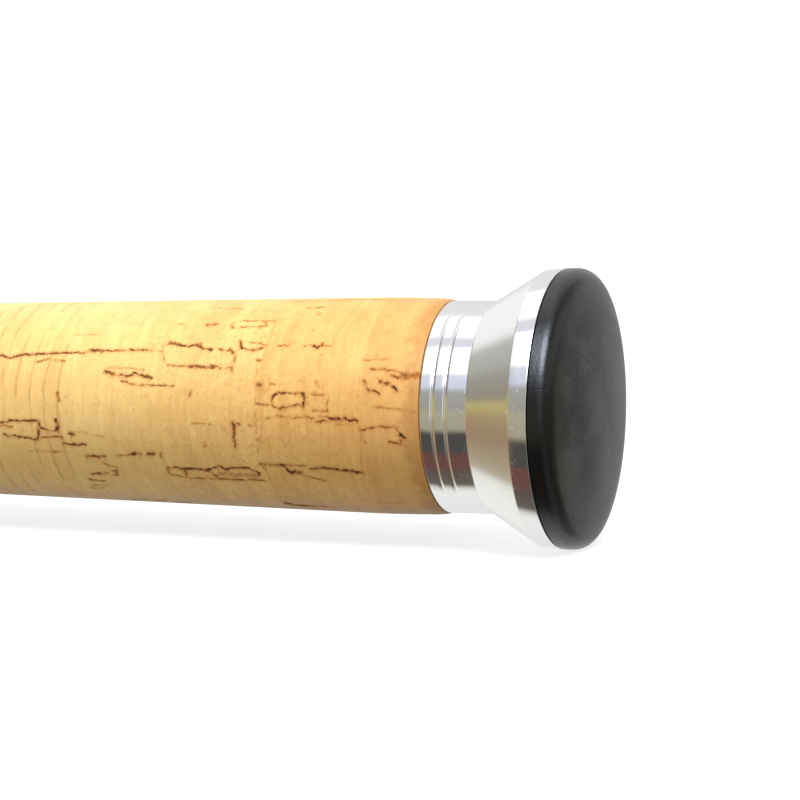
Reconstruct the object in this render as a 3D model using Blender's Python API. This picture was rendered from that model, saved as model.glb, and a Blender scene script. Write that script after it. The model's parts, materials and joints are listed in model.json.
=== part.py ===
"""A one-piece jigging rod, 1.6 m long, as an assembly of its separate pieces.

The rod lies on a flat surface as it comes to rest without a reel: on the rim of its butt pad, on
the ring of its first guide and on its tip top. The butt points along +X and the tip along -X.
"""

import math

import bmesh
import bpy
from mathutils import Vector

# All sizes are in metres. S is the distance along the rod from the crown of the butt pad towards
# the tip. Angle zero round the rod is the side that carries the reel and the guides.

# Clearances between neighbours
GLUE_GAP = 0.0003
FACE_GAP = 0.0001
SEAT_GAP = 0.00015
RUN_GAP = 0.0003

# Blank
BLANK_TIP_S = 1.5965
BLANK_BUTT_R = 0.0065
BLANK_TIP_R = 0.00115
BLANK_TAPER = 0.9
BLANK_WALL = 0.0010
BLANK_SOLID_TIP = 0.120

# Butt pad
PAD_RIM_R = 0.0160
PAD_FACE_R = 0.0146
PAD_CROWN = 0.0016
PAD_SHOULDER = 0.0014
PAD_EDGE = 0.0014
PAD_STEM_R = 0.0077
PAD_STEM_LENGTH = 0.0074
PAD_FACE_RINGS = 4
PAD_SHOULDER_RINGS = 5

# Butt collar
COLLAR_LIP = 0.0022
COLLAR_FLARE = 0.0059
COLLAR_NECK = 0.0055
COLLAR_LIP_R = 0.0158
COLLAR_NECK_R = 0.0123
COLLAR_CHAMFER = 0.0002
GROOVE_PITCH = 0.0015
GROOVE_WIDTH = 0.0005
GROOVE_DEPTH = 0.0002
CUP_DEPTH = 0.0060

# Rear grip
CORK_RING = 0.0127
REAR_RINGS = 24
TENON_R = 0.0110
CORK_EDGE = 0.00025
CORK_BUTT_R = 0.0125
CORK_BUTT_SLOPE = 0.03
CORK_SWELL_R = 0.01265
CORK_SWELL_S = 0.0265
CORK_TAPER = -0.0142
WAIST_R = 0.0110
WAIST_FROM_BUTT = 0.150
WAIST_FROM_SEAT = 0.080
CORK_SEAT_R = 0.0122
BUTT_SWELL_RINGS = 3
REAR_GRIP_LOOPS = 10

# Seat ring
SEAT_RING_LENGTH = 0.0040
SEAT_RING_GROOVE = 0.0004

# Reel seat
BARREL_LENGTH = 0.1200
BARREL_R = 0.0106
BARREL_BORE_R = 0.0080
LAND_HEIGHT = 0.0092
LAND_RISE = 0.0002
THREAD_PITCH = 0.0025
THREAD_TURNS = 15
THREAD_DEPTH = 0.0005
THREAD_END = 0.0020
ARBOR_LENGTH = 0.030
ARBOR_INSET = 0.004

# Hoods
HOOD_LENGTH = 0.0220
HOOD_R = 0.0121
HOOD_WALL = 0.0015
HOOD_BEAD = 0.0004
HOOD_BEAD_AT = 0.0008
HOOD_BEAD_END = 0.0024
HOOD_TAIL = 0.0016
POCKET_DEPTH = 0.0140
POCKET_HALF_WIDTH = 0.0078
POCKET_MOUTH_TOP = 0.0154
POCKET_INNER_TOP = 0.0134
POCKET_ROUNDNESS = 4.0
SHORTEST_FOOT = 0.0560
HOOD_TRAVEL = 0.0200

# Lock nut and washer
WASHER_THICKNESS = 0.0012
WASHER_R = 0.0120
NUT_LENGTH = 0.0140
NUT_R = 0.0124
NUT_END_R = 0.0118
NUT_FLUTE_DEPTH = 0.0005
NUT_FLUTES = 20
NUT_CHAMFER = 0.0012

# Foregrip and winding check
FORE_RINGS = 8
FORE_SEAT_R = 0.0118
FORE_FRONT_R = 0.0078
FORE_FRONT_SLOPE = -0.030
FORE_EDGE = 0.0010
FOREGRIP_LOOPS = 7
CHECK_LENGTH = 0.0045
CHECK_R = 0.0074
CHECK_BAND = 0.0013
CHECK_WALL = 0.0006
GRIP_WRAP_LENGTH = 0.030

# Thread wraps
WRAP_THICKNESS = 0.0005
WRAP_EDGE = 0.0002
WRAP_RAMP = 0.0020
WRAP_REST_SIDES = 10
WRAP_SIDE_SLOPE = 1.5

# Hook keeper
KEEPER_FROM_WRAP = 0.030
KEEPER_FOOT_LENGTH = 0.0120
KEEPER_FOOT_WIDTH = 0.0030
KEEPER_FOOT_THICKNESS = 0.0010
EYE_R = 0.0016
EYE_OVERLAP = 0.0005
EYE_SIDES = 16
EYE_BORE_R = 0.00085
EYE_WIDTH = 0.0026
KEEPER_WIRE_R = 0.0006
KEEPER_HALF_WIDTH = 0.0031
KEEPER_STRAIGHT = 0.0006
KEEPER_BEND_R = 0.0011
KEEPER_BEND_POINTS = 4
KEEPER_ROUND_POINTS = 9

# Guides. Each list runs from the guide nearest the reel to the one nearest the tip. The height is
# from the blank's middle to the ring's middle.
GUIDE_NAMES = (
    "stripper_guide",
    "second_guide",
    "third_guide",
    "fourth_guide",
    "fifth_guide",
    "sixth_guide",
)
GUIDE_S = (0.720, 0.925, 1.105, 1.255, 1.385, 1.500)
GUIDE_RING_R = (0.0150, 0.0100, 0.0080, 0.0060, 0.0050, 0.0045)
GUIDE_HEIGHT = (0.0350, 0.0220, 0.0170, 0.0125, 0.0105, 0.0102)
GUIDE_WIRE_R = (0.00110, 0.00090, 0.00080, 0.00055, 0.00050, 0.00050)
TWO_FOOT_GUIDES = 3
RING_WIDTH_SHARE = 0.115
RING_WIDTH_ADDED = 0.0006
RING_LENGTH_SHARE = 0.14
RING_LENGTH_ADDED = 0.0012
HOLDER_WALL = 0.0010
HOLDER_SINK = 0.0006
LEG_SPREAD = math.radians(48)
LEG_BEND_AT = 0.22
LEG_MIDDLE_AT = 0.60
LEG_LIFT_SHARE = 1.1
REAR_LEG_REACH = 0.62
REAR_LEG_STANCE = 0.50
FRONT_LEG_REACH = 0.50
FRONT_LEG_SHARE = 1.1
SINGLE_LEG_REACH = 1.05
SINGLE_LEG_STANCE = 0.40
FOOT_LENGTH_SHARE = 0.55
FOOT_LENGTH_ADDED = 0.0060
FOOT_END_THICKNESS = 0.0003
FOOT_THICKNESS_SHARE = 1.1
FOOT_HALF_WIDTH_SHARE = 1.5
FOOT_WIDEST_SHARE = 0.9
FOOT_POINTS = 5
FOOT_BARE_SHARE = 2.0

# Tip top
TIP_RING_R = 0.0030
TIP_TUBE_LENGTH = 0.0110
TIP_TUBE_WALL = 0.00045
TIP_TUBE_CAP = 0.0008
TIP_TUBE_CROWN = 0.0004
TIP_TUBE_SIDES = 16
TIP_HOLDER_LENGTH = 0.0014
TIP_WIRE_R = 0.00040
TIP_BRACE_TOP = math.radians(95)
TIP_BRACE_ANGLE = math.radians(50)
TIP_BRACE_FROM_END = 0.0038
TIP_BRACE_SEAT = 0.0012
TIP_WRAP_LENGTH = 0.0060

# How finely round pieces are divided
FINE_SIDES = 32
GRIP_SIDES = 24
HOOD_SIDES = 32
BLANK_SIDES = 16
RING_SIDES = 20
RING_SECTION_SIDES = 6
WIRE_SIDES = 6
BARREL_STEP = math.radians(18)
BLANK_LOOPS = 13
BLANK_BORE_LOOPS = 5
SMOOTH_ANGLE = math.radians(35)
MERGE_DISTANCE = 1e-7

# Places along the rod, from the butt to the tip
PAD_BACK_S = PAD_CROWN + PAD_SHOULDER + PAD_EDGE
COLLAR_S = PAD_BACK_S + FACE_GAP
FLARE_S = COLLAR_S + COLLAR_LIP
NECK_S = FLARE_S + COLLAR_FLARE
COLLAR_END_S = NECK_S + COLLAR_NECK
CUP_FLOOR_S = COLLAR_END_S - CUP_DEPTH
TENON_S = CUP_FLOOR_S + FACE_GAP
BLANK_BUTT_S = TENON_S + GLUE_GAP
GRIP_S = COLLAR_END_S + FACE_GAP
GRIP_END_S = TENON_S + REAR_RINGS * CORK_RING
SEAT_RING_S = GRIP_END_S + FACE_GAP
BARREL_S = SEAT_RING_S + SEAT_RING_LENGTH + FACE_GAP
BARREL_END_S = BARREL_S + BARREL_LENGTH
FIXED_MOUTH_S = BARREL_S + HOOD_LENGTH
SLIDING_MOUTH_S = FIXED_MOUTH_S + SHORTEST_FOOT - 2 * POCKET_DEPTH + HOOD_TRAVEL
WASHER_S = SLIDING_MOUTH_S + HOOD_LENGTH + FACE_GAP
NUT_S = WASHER_S + WASHER_THICKNESS + FACE_GAP
THREAD_END_S = BARREL_END_S - THREAD_END
THREAD_S = THREAD_END_S - (THREAD_TURNS + 1) * THREAD_PITCH
FOREGRIP_S = BARREL_END_S + FACE_GAP
FOREGRIP_END_S = FOREGRIP_S + FORE_RINGS * CORK_RING
CHECK_S = FOREGRIP_END_S + FACE_GAP
GRIP_WRAP_S = CHECK_S + CHECK_LENGTH + FACE_GAP
KEEPER_FOOT_S = GRIP_WRAP_S + GRIP_WRAP_LENGTH + KEEPER_FROM_WRAP


def remove_old_objects():
    for old in list(bpy.data.objects):
        bpy.data.objects.remove(old, do_unlink=True)


def make_material(name, colour, roughness, metallic=0.0):
    material = bpy.data.materials.new(name)
    material.use_nodes = True
    shader = material.node_tree.nodes["Principled BSDF"]
    shader.inputs["Base Color"].default_value = (*colour, 1.0)
    shader.inputs["Roughness"].default_value = roughness
    shader.inputs["Metallic"].default_value = metallic
    material.diffuse_color = (*colour, 1.0)
    return material


# Shapes shared by several pieces


def polar(s, r, angle):
    """A point at the distance s along the rod, r from its middle, at an angle from the guides' side."""
    return Vector((-s, -r * math.cos(angle), r * math.sin(angle)))


def blank_r(s):
    """The blank's outer radius, which falls towards the tip, at first slowly."""
    share = (BLANK_TIP_S - s) / (BLANK_TIP_S - BLANK_BUTT_S)
    return BLANK_TIP_R + (BLANK_BUTT_R - BLANK_TIP_R) * min(max(share, 0.0), 1.0) ** BLANK_TAPER


def bore_r(r, gap, sides):
    """The corner radius of a many-sided bore whose flats clear a round of radius r by the gap."""
    return (r + gap) / math.cos(math.pi / sides)


def curve_r(s, start, end):
    """The radius on a smooth curve between two (s, radius, slope) ends."""
    length = end[0] - start[0]
    t = (s - start[0]) / length
    return (
        (2 * t**3 - 3 * t**2 + 1) * start[1]
        + (t**3 - 2 * t**2 + t) * length * start[2]
        + (3 * t**2 - 2 * t**3) * end[1]
        + (t**3 - t**2) * length * end[2]
    )


def spaced(start, end, count):
    """Evenly spaced values from start to end, both included."""
    return [start + (end - start) * i / (count - 1) for i in range(count)]


def finish(mesh_data):
    bmesh.ops.remove_doubles(mesh_data, verts=mesh_data.verts, dist=MERGE_DISTANCE)
    bmesh.ops.recalc_face_normals(mesh_data, faces=mesh_data.faces)
    return mesh_data


def turned(profile, sides, height=0.0):
    """A solid of revolution from (s, radius) points, about the rod's middle or an axis beside it."""
    shape = bmesh.new()
    points = [shape.verts.new((-s, -r - height, 0.0)) for s, r in profile]
    edges = [shape.edges.new(pair) for pair in zip(points, points[1:])]
    if profile[0][1] > 0 or profile[-1][1] > 0:
        edges.append(shape.edges.new((points[-1], points[0])))
    bmesh.ops.spin(
        shape,
        geom=points + edges,
        cent=(0.0, -height, 0.0),
        axis=(1.0, 0.0, 0.0),
        angle=2 * math.pi,
        steps=sides,
        use_merge=True,
    )
    return finish(shape)


def lofted(loops, hollow=False):
    """A solid through loops of points. A hollow one returns from its last loop to its first."""
    shape = bmesh.new()
    rows = [[shape.verts.new(point) for point in loop] for loop in loops]
    pairs = list(zip(rows, rows[1:]))
    if hollow:
        pairs.append((rows[-1], rows[0]))
    for near, far in pairs:
        for i in range(len(near)):
            j = (i + 1) % len(near)
            shape.faces.new((near[i], near[j], far[j], far[i]))
    if not hollow:
        shape.faces.new(rows[0])
        shape.faces.new(list(reversed(rows[-1])))
    return finish(shape)


def wire(path, radius, sides=WIRE_SIDES, closed=False):
    """A round wire along a path of points."""
    loops = []
    side = None
    for i, point in enumerate(path):
        before = path[i - 1] if i or closed else point
        after = path[(i + 1) % len(path)] if i + 1 < len(path) or closed else point
        along = (after - before).normalized()
        if side is None:
            side = along.orthogonal().normalized()
        side = (side - along * side.dot(along)).normalized()
        up = along.cross(side)
        turns = [2 * math.pi * k / sides for k in range(sides)]
        loops.append([point + radius * (side * math.cos(a) + up * math.sin(a)) for a in turns])
    return lofted(loops, hollow=closed)


def placed(name, shape, material, rod, at=(0.0, 0.0, 0.0)):
    """An object of the shape, with its origin at a point of the rod's frame."""
    bmesh.ops.translate(shape, verts=shape.verts, vec=-Vector(at))
    mesh = bpy.data.meshes.new(name)
    shape.to_mesh(mesh)
    shape.free()
    mesh.shade_smooth()
    mesh.set_sharp_from_angle(angle=SMOOTH_ANGLE)
    mesh.materials.append(material)
    piece = bpy.data.objects.new(name, mesh)
    bpy.context.scene.collection.objects.link(piece)
    piece.parent = rod
    piece.location = at
    return piece


def united(name, shapes, material, rod):
    """One solid out of overlapping shapes, each joined to the first by a Boolean."""
    piece = placed(name, shapes[0], material, rod)
    for number, shape in enumerate(shapes[1:], 1):
        added = placed(f"{name}_add_{number}", shape, material, rod)
        added.hide_render = True
        added.display_type = "WIRE"
        joint = piece.modifiers.new(f"union_{number}", "BOOLEAN")
        joint.operation = "UNION"
        joint.solver = "EXACT"
        joint.object = added
    return piece


# Butt end


def make_butt_pad(rod, material):
    face_radius = (PAD_FACE_R**2 + PAD_CROWN**2) / (2 * PAD_CROWN)
    face_angle = math.asin(PAD_FACE_R / face_radius)
    profile = []
    for angle in spaced(0.0, face_angle, PAD_FACE_RINGS):
        profile.append((face_radius * (1 - math.cos(angle)), face_radius * math.sin(angle)))
    for angle in spaced(0.0, math.pi / 2, PAD_SHOULDER_RINGS)[1:]:
        s = PAD_CROWN + PAD_SHOULDER * (1 - math.cos(angle))
        profile.append((s, PAD_FACE_R + (PAD_RIM_R - PAD_FACE_R) * math.sin(angle)))
    profile += [
        (PAD_BACK_S, PAD_RIM_R),
        (PAD_BACK_S, PAD_STEM_R),
        (PAD_BACK_S + PAD_STEM_LENGTH, PAD_STEM_R),
        (PAD_BACK_S + PAD_STEM_LENGTH, 0.0),
    ]
    placed("butt_pad", turned(profile, FINE_SIDES), material, rod)


def groove(s):
    """A V groove in the collar's neck, centred at s."""
    half = GROOVE_WIDTH / 2
    return [(s - half, COLLAR_NECK_R), (s, COLLAR_NECK_R - GROOVE_DEPTH), (s + half, COLLAR_NECK_R)]


def make_butt_collar(rod, material):
    stem_bore = bore_r(PAD_STEM_R, GLUE_GAP, FINE_SIDES)
    cup_bore = bore_r(TENON_R, GLUE_GAP, FINE_SIDES)
    profile = [
        (COLLAR_S, PAD_RIM_R - COLLAR_CHAMFER),
        (COLLAR_S + COLLAR_CHAMFER, PAD_RIM_R),
        (FLARE_S, COLLAR_LIP_R),
        (FLARE_S + COLLAR_CHAMFER, COLLAR_LIP_R - COLLAR_CHAMFER),
        (NECK_S, COLLAR_NECK_R),
        *groove(COLLAR_END_S - 2 * GROOVE_PITCH),
        *groove(COLLAR_END_S - GROOVE_PITCH),
        (COLLAR_END_S - COLLAR_CHAMFER, COLLAR_NECK_R),
        (COLLAR_END_S, COLLAR_NECK_R - COLLAR_CHAMFER),
        (COLLAR_END_S, cup_bore),
        (CUP_FLOOR_S, cup_bore),
        (CUP_FLOOR_S, stem_bore),
        (COLLAR_S, stem_bore),
    ]
    placed("butt_collar", turned(profile, FINE_SIDES), material, rod)


# Grips


def rear_grip_r(s):
    """The rear grip's radius, which swells near the butt, narrows at a waist and swells to the seat."""
    waist_start = CORK_SWELL_S + WAIST_FROM_BUTT
    waist_end = GRIP_END_S - WAIST_FROM_SEAT
    if s < CORK_SWELL_S:
        start = (GRIP_S, CORK_BUTT_R, CORK_BUTT_SLOPE)
        return curve_r(s, start, (CORK_SWELL_S, CORK_SWELL_R, 0.0))
    if s < waist_start:
        return curve_r(s, (CORK_SWELL_S, CORK_SWELL_R, CORK_TAPER), (waist_start, WAIST_R, 0.0))
    if s < waist_end:
        return WAIST_R
    return curve_r(s, (waist_end, WAIST_R, 0.0), (GRIP_END_S, CORK_SEAT_R, 0.0))


def foregrip_r(s):
    start = (FOREGRIP_S, FORE_SEAT_R, 0.0)
    return curve_r(s, start, (FOREGRIP_END_S, FORE_FRONT_R, FORE_FRONT_SLOPE))


def blank_bore(start, end, gap, sides):
    """The (s, radius) points of a bore round the blank, from end back to start."""
    return [(s, bore_r(blank_r(s), gap, sides)) for s in (end, start)]


def make_rear_grip(rod, material):
    swell = spaced(GRIP_S + CORK_EDGE, CORK_SWELL_S, BUTT_SWELL_RINGS)
    body = spaced(CORK_SWELL_S, GRIP_END_S - CORK_EDGE, REAR_GRIP_LOOPS)
    profile = [
        (TENON_S, TENON_R),
        (GRIP_S, TENON_R),
        (GRIP_S, CORK_BUTT_R - CORK_EDGE),
        *[(s, rear_grip_r(s)) for s in swell + body[1:]],
        (GRIP_END_S, CORK_SEAT_R - CORK_EDGE),
        *blank_bore(TENON_S, GRIP_END_S, GLUE_GAP, GRIP_SIDES),
    ]
    placed("rear_grip", turned(profile, GRIP_SIDES), material, rod)


def make_foregrip(rod, material):
    body = spaced(FOREGRIP_S + FORE_EDGE, FOREGRIP_END_S - CORK_EDGE, FOREGRIP_LOOPS)
    profile = [
        (FOREGRIP_S, FORE_SEAT_R - FORE_EDGE),
        *[(s, foregrip_r(s)) for s in body],
        (FOREGRIP_END_S, FORE_FRONT_R - CORK_EDGE),
        *blank_bore(FOREGRIP_S, FOREGRIP_END_S, GLUE_GAP, GRIP_SIDES),
    ]
    placed("foregrip", turned(profile, GRIP_SIDES), material, rod)


def make_seat_ring(rod, material):
    middle = SEAT_RING_S + SEAT_RING_LENGTH / 2
    end = SEAT_RING_S + SEAT_RING_LENGTH
    profile = [
        (SEAT_RING_S, CORK_SEAT_R - COLLAR_CHAMFER),
        (SEAT_RING_S + COLLAR_CHAMFER, CORK_SEAT_R),
        (middle - SEAT_RING_GROOVE, CORK_SEAT_R),
        (middle, CORK_SEAT_R - SEAT_RING_GROOVE),
        (middle + SEAT_RING_GROOVE, CORK_SEAT_R),
        (end - COLLAR_CHAMFER, CORK_SEAT_R),
        (end, CORK_SEAT_R - COLLAR_CHAMFER),
        *blank_bore(SEAT_RING_S, end, GLUE_GAP, GRIP_SIDES),
    ]
    placed("seat_ring", turned(profile, GRIP_SIDES), material, rod)


def make_winding_check(rod, material):
    end = CHECK_S + CHECK_LENGTH
    bore = blank_bore(CHECK_S, end, GLUE_GAP, GRIP_SIDES)
    front_r = bore[0][1] + CHECK_WALL
    profile = [
        (CHECK_S, CHECK_R - COLLAR_CHAMFER),
        (CHECK_S + COLLAR_CHAMFER, CHECK_R),
        (CHECK_S + CHECK_BAND, CHECK_R),
        (end - COLLAR_CHAMFER, front_r + COLLAR_CHAMFER),
        (end, front_r),
        *bore,
    ]
    placed("winding_check", turned(profile, GRIP_SIDES), material, rod)


# Reel seat


def barrel_angles():
    """Angles round the barrel, from its back to its back, with one at each edge of the land."""
    crest = math.acos(LAND_HEIGHT / BARREL_R)
    root = math.acos(min(1.0, LAND_HEIGHT / (BARREL_R - THREAD_DEPTH)))
    keys = [-math.pi, -crest, -root, root, crest, math.pi]
    angles = []
    for start, end in zip(keys, keys[1:]):
        count = max(2, math.ceil((end - start) / BARREL_STEP) + 1)
        angles += spaced(start, end, count)[:-1]
    return angles


def barrel_point(s, r, angle, land=LAND_HEIGHT):
    """A point of the barrel's skin, which is flat where the reel's foot sits."""
    if abs(angle) < math.pi / 2:
        r = min(r, land / math.cos(angle))
    return polar(s, r, angle)


def make_reel_seat(rod, material):
    angles = barrel_angles()
    count = len(angles)
    root_r = BARREL_R - THREAD_DEPTH
    shape = bmesh.new()

    def circle(s, r, land=LAND_HEIGHT):
        return [shape.verts.new(barrel_point(s, r, angle, land)) for angle in angles]

    def bore(s):
        return [shape.verts.new(polar(s, BARREL_BORE_R, angle)) for angle in angles]

    def helix(start, turns, r):
        points = []
        for k in range(turns * count + 1):
            turn, i = divmod(k, count)
            advance = (turn + (angles[i] + math.pi) / (2 * math.pi)) * THREAD_PITCH
            points.append(shape.verts.new(barrel_point(start + advance, r, angles[i])))
        return points

    def skin(near, far):
        for i in range(count):
            j = (i + 1) % count
            shape.faces.new((near[i], near[j], far[j], far[i]))

    smooth_start = circle(BARREL_S, BARREL_R)
    land_s = FIXED_MOUTH_S + GLUE_GAP
    land_end_s = SLIDING_MOUTH_S - GLUE_GAP
    raised = LAND_HEIGHT + LAND_RISE
    land_foot = circle(land_s, BARREL_R)
    land_start = circle(land_s + LAND_RISE, BARREL_R, raised)
    land_end = circle(land_end_s - LAND_RISE, BARREL_R, raised)
    land_end_foot = circle(land_end_s, BARREL_R)
    smooth_end = circle(THREAD_S - THREAD_DEPTH, BARREL_R)
    thread_start = circle(THREAD_S - THREAD_DEPTH / 2, root_r)
    thread_end = circle(THREAD_END_S + THREAD_DEPTH / 2, root_r)
    barrel_end = circle(BARREL_END_S, root_r)
    bore_end = bore(BARREL_END_S)
    bore_start = bore(BARREL_S)
    root = helix(THREAD_S, THREAD_TURNS + 1, root_r)
    crest = helix(THREAD_S + THREAD_PITCH / 2, THREAD_TURNS, BARREL_R)
    last = THREAD_TURNS * count
    for k in range(last):
        shape.faces.new((root[k], root[k + 1], crest[k + 1], crest[k]))
        shape.faces.new((crest[k], crest[k + 1], root[k + count + 1], root[k + count]))
    shape.faces.new((root[0], crest[0], root[count]))
    shape.faces.new((root[last], crest[last], root[last + count]))
    for i in range(count - 1):
        shape.faces.new((thread_start[i], thread_start[i + 1], root[i + 1], root[i]))
    shape.faces.new((thread_start[-1], thread_start[0], root[0], root[count], root[count - 1]))
    for i in range(1, count - 1):
        shape.faces.new((root[last + i], root[last + i + 1], thread_end[i + 1], thread_end[i]))
    shape.faces.new((root[last + count - 1], root[last + count], thread_end[0], thread_end[-1]))
    shape.faces.new((root[last], root[last + 1], thread_end[1], thread_end[0], root[last + count]))
    skin(smooth_start, land_foot)
    skin(land_foot, land_start)
    skin(land_start, land_end)
    skin(land_end, land_end_foot)
    skin(land_end_foot, smooth_end)
    skin(smooth_end, thread_start)
    skin(thread_end, barrel_end)
    skin(barrel_end, bore_end)
    skin(bore_end, bore_start)
    skin(bore_start, smooth_start)
    placed("reel_seat", finish(shape), material, rod)


def make_arbors(rod, material):
    outer_r = BARREL_BORE_R * math.cos(BARREL_STEP / 2) - GLUE_GAP
    rear_s = BARREL_S + ARBOR_INSET
    front_s = BARREL_END_S - ARBOR_INSET - ARBOR_LENGTH
    for name, s in (("rear_arbor", rear_s), ("front_arbor", front_s)):
        end = s + ARBOR_LENGTH
        profile = [(s, outer_r), (end, outer_r), *blank_bore(s, end, GLUE_GAP, GRIP_SIDES)]
        placed(name, turned(profile, GRIP_SIDES), material, rod)


def arch_r(angle, circle_r, half_width, top):
    """The radius of a hood's section: a circle with an arch on the reel's side."""
    up = math.cos(angle)
    if up <= 0 or top <= 0:
        return circle_r
    across = abs(math.sin(angle)) / half_width
    arch = (across**POCKET_ROUNDNESS + (up / top) ** POCKET_ROUNDNESS) ** (-1 / POCKET_ROUNDNESS)
    return max(circle_r, arch)


def hood_shape(mouth_s, direction):
    """A hood that runs from its mouth in the direction +1, to the tip, or -1, to the butt."""
    angles = [2 * math.pi * i / HOOD_SIDES for i in range(HOOD_SIDES)]
    bore = bore_r(BARREL_R, RUN_GAP, HOOD_SIDES)
    wide = POCKET_HALF_WIDTH + HOOD_WALL
    mouth_top = POCKET_MOUTH_TOP + HOOD_WALL
    inner_top = POCKET_INNER_TOP + HOOD_WALL
    outer = [
        (0.0, HOOD_R, wide, mouth_top),
        (HOOD_BEAD_AT, HOOD_R + HOOD_BEAD, wide + HOOD_BEAD, mouth_top + HOOD_BEAD),
        (HOOD_BEAD_END, HOOD_R, wide, mouth_top - HOOD_BEAD),
        (POCKET_DEPTH + HOOD_WALL, HOOD_R, wide, inner_top),
        (HOOD_LENGTH - HOOD_TAIL, HOOD_R, wide, HOOD_R),
        (HOOD_LENGTH, HOOD_R - HOOD_BEAD, wide, 0.0),
    ]
    inner = [
        (HOOD_LENGTH, bore, POCKET_HALF_WIDTH, 0.0),
        (POCKET_DEPTH + GLUE_GAP, bore, POCKET_HALF_WIDTH, 0.0),
        (POCKET_DEPTH, bore, POCKET_HALF_WIDTH, POCKET_INNER_TOP),
        (0.0, bore, POCKET_HALF_WIDTH, POCKET_MOUTH_TOP),
    ]
    loops = []
    for depth, circle_r, half_width, top in outer + inner:
        s = mouth_s + direction * depth
        loops.append([polar(s, arch_r(a, circle_r, half_width, top), a) for a in angles])
    return lofted(loops, hollow=True)


def make_hoods(rod, material):
    placed("fixed_hood", hood_shape(FIXED_MOUTH_S, -1), material, rod)
    at = (-SLIDING_MOUTH_S, 0.0, 0.0)
    placed("sliding_hood", hood_shape(SLIDING_MOUTH_S, 1), material, rod, at)


def make_slip_washer(rod, material):
    bore = bore_r(BARREL_R, RUN_GAP, FINE_SIDES)
    end = WASHER_S + WASHER_THICKNESS
    profile = [(WASHER_S, WASHER_R), (end, WASHER_R), (end, bore), (WASHER_S, bore)]
    placed("slip_washer", turned(profile, FINE_SIDES), material, rod, (-WASHER_S, 0.0, 0.0))


def make_lock_nut(rod, material):
    sides = 2 * NUT_FLUTES
    bore = bore_r(BARREL_R, RUN_GAP, sides)
    end = NUT_S + NUT_LENGTH
    sections = [
        (NUT_S, NUT_END_R, 0.0),
        (NUT_S + NUT_CHAMFER, NUT_R, NUT_FLUTE_DEPTH),
        (end - 2 * NUT_CHAMFER, NUT_R, NUT_FLUTE_DEPTH),
        (end - NUT_CHAMFER, NUT_R - NUT_FLUTE_DEPTH, 0.0),
        (end, NUT_END_R - NUT_FLUTE_DEPTH, 0.0),
        (end, bore, 0.0),
        (NUT_S, bore, 0.0),
    ]
    loops = []
    for s, r, depth in sections:
        radii = [r - depth * (i % 2) for i in range(sides)]
        loops.append([polar(s, radii[i], 2 * math.pi * i / sides) for i in range(sides)])
    placed("lock_nut", lofted(loops, hollow=True), material, rod, (-NUT_S, 0.0, 0.0))


# Blank and thread wraps


def make_blank(rod, material):
    bore_end = BLANK_TIP_S - BLANK_SOLID_TIP
    outer = [(s, blank_r(s)) for s in spaced(BLANK_BUTT_S, BLANK_TIP_S, BLANK_LOOPS)]
    inner = [(s, blank_r(s) - BLANK_WALL) for s in spaced(bore_end, BLANK_BUTT_S, BLANK_BORE_LOOPS)]
    profile = [(bore_end, 0.0), *inner, *outer, (BLANK_TIP_S, 0.0)]
    placed("blank", turned(profile, BLANK_SIDES), material, rod)


def foot_angles(foot):
    """Angles across a foot on the blank."""
    end_s, root_s, half_width, _ = foot
    under = blank_r((end_s + root_s) / 2) + SEAT_GAP
    edge = math.asin(min(FOOT_WIDEST_SHARE, half_width / under))
    return spaced(-edge, edge, FOOT_POINTS)


def foot_shape(foot):
    """A flat foot on the blank that thickens from its end to its root, where the legs rise."""
    end_s, root_s, _, thickness = foot
    angles = foot_angles(foot)
    loops = []
    for s, depth in ((end_s, FOOT_END_THICKNESS), (root_s, thickness)):
        under = (blank_r(s) + SEAT_GAP) / math.cos((angles[1] - angles[0]) / 2)
        loop = [polar(s, under, angle) for angle in angles]
        loop += [polar(s, under + depth, angle) for angle in reversed(angles)]
        loops.append(loop)
    return lofted(loops)


def wrap_shape(foot, covered):
    """A thread wrap over a foot, from the bare blank beyond its end to the place called covered."""
    end_s, root_s, _, thickness = foot
    over = foot_angles(foot)
    margin = SEAT_GAP * 2 / blank_r(root_s)
    rise = margin + thickness * WRAP_SIDE_SLOPE / blank_r(root_s)
    around = spaced(over[-1] + rise, 2 * math.pi - over[-1] - rise, WRAP_REST_SIDES)
    angles = [over[0] - margin, *over, over[-1] + margin, *around]
    on_foot = len(over) + 2
    widest = max([over[1] - over[0], rise - margin] + [b - a for a, b in zip(around, around[1:])])
    toward = 1 if root_s > end_s else -1

    def loop(s, bump, wall):
        clear = (blank_r(s) + SEAT_GAP) / math.cos(widest / 2)
        radii = [clear + wall + (bump if i < on_foot else 0.0) for i in range(len(angles))]
        return [polar(s, r, angle) for r, angle in zip(radii, angles)]

    def foot_top(s):
        share = (s - end_s) / (root_s - end_s)
        return FOOT_END_THICKNESS + (thickness - FOOT_END_THICKNESS) * share + SEAT_GAP

    open_s = end_s - toward * WRAP_RAMP * 2
    ramp = end_s - toward * WRAP_RAMP / 2
    near = end_s - toward * SEAT_GAP
    outer = [
        loop(open_s, 0.0, WRAP_EDGE),
        loop(ramp, 0.0, WRAP_THICKNESS),
        loop(near, foot_top(end_s), WRAP_THICKNESS),
        loop(covered, foot_top(covered), WRAP_THICKNESS),
    ]
    inner = [
        loop(covered, foot_top(covered), 0.0),
        loop(near, foot_top(end_s), 0.0),
        loop(open_s, 0.0, 0.0),
    ]
    return lofted(outer + inner, hollow=True)


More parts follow.
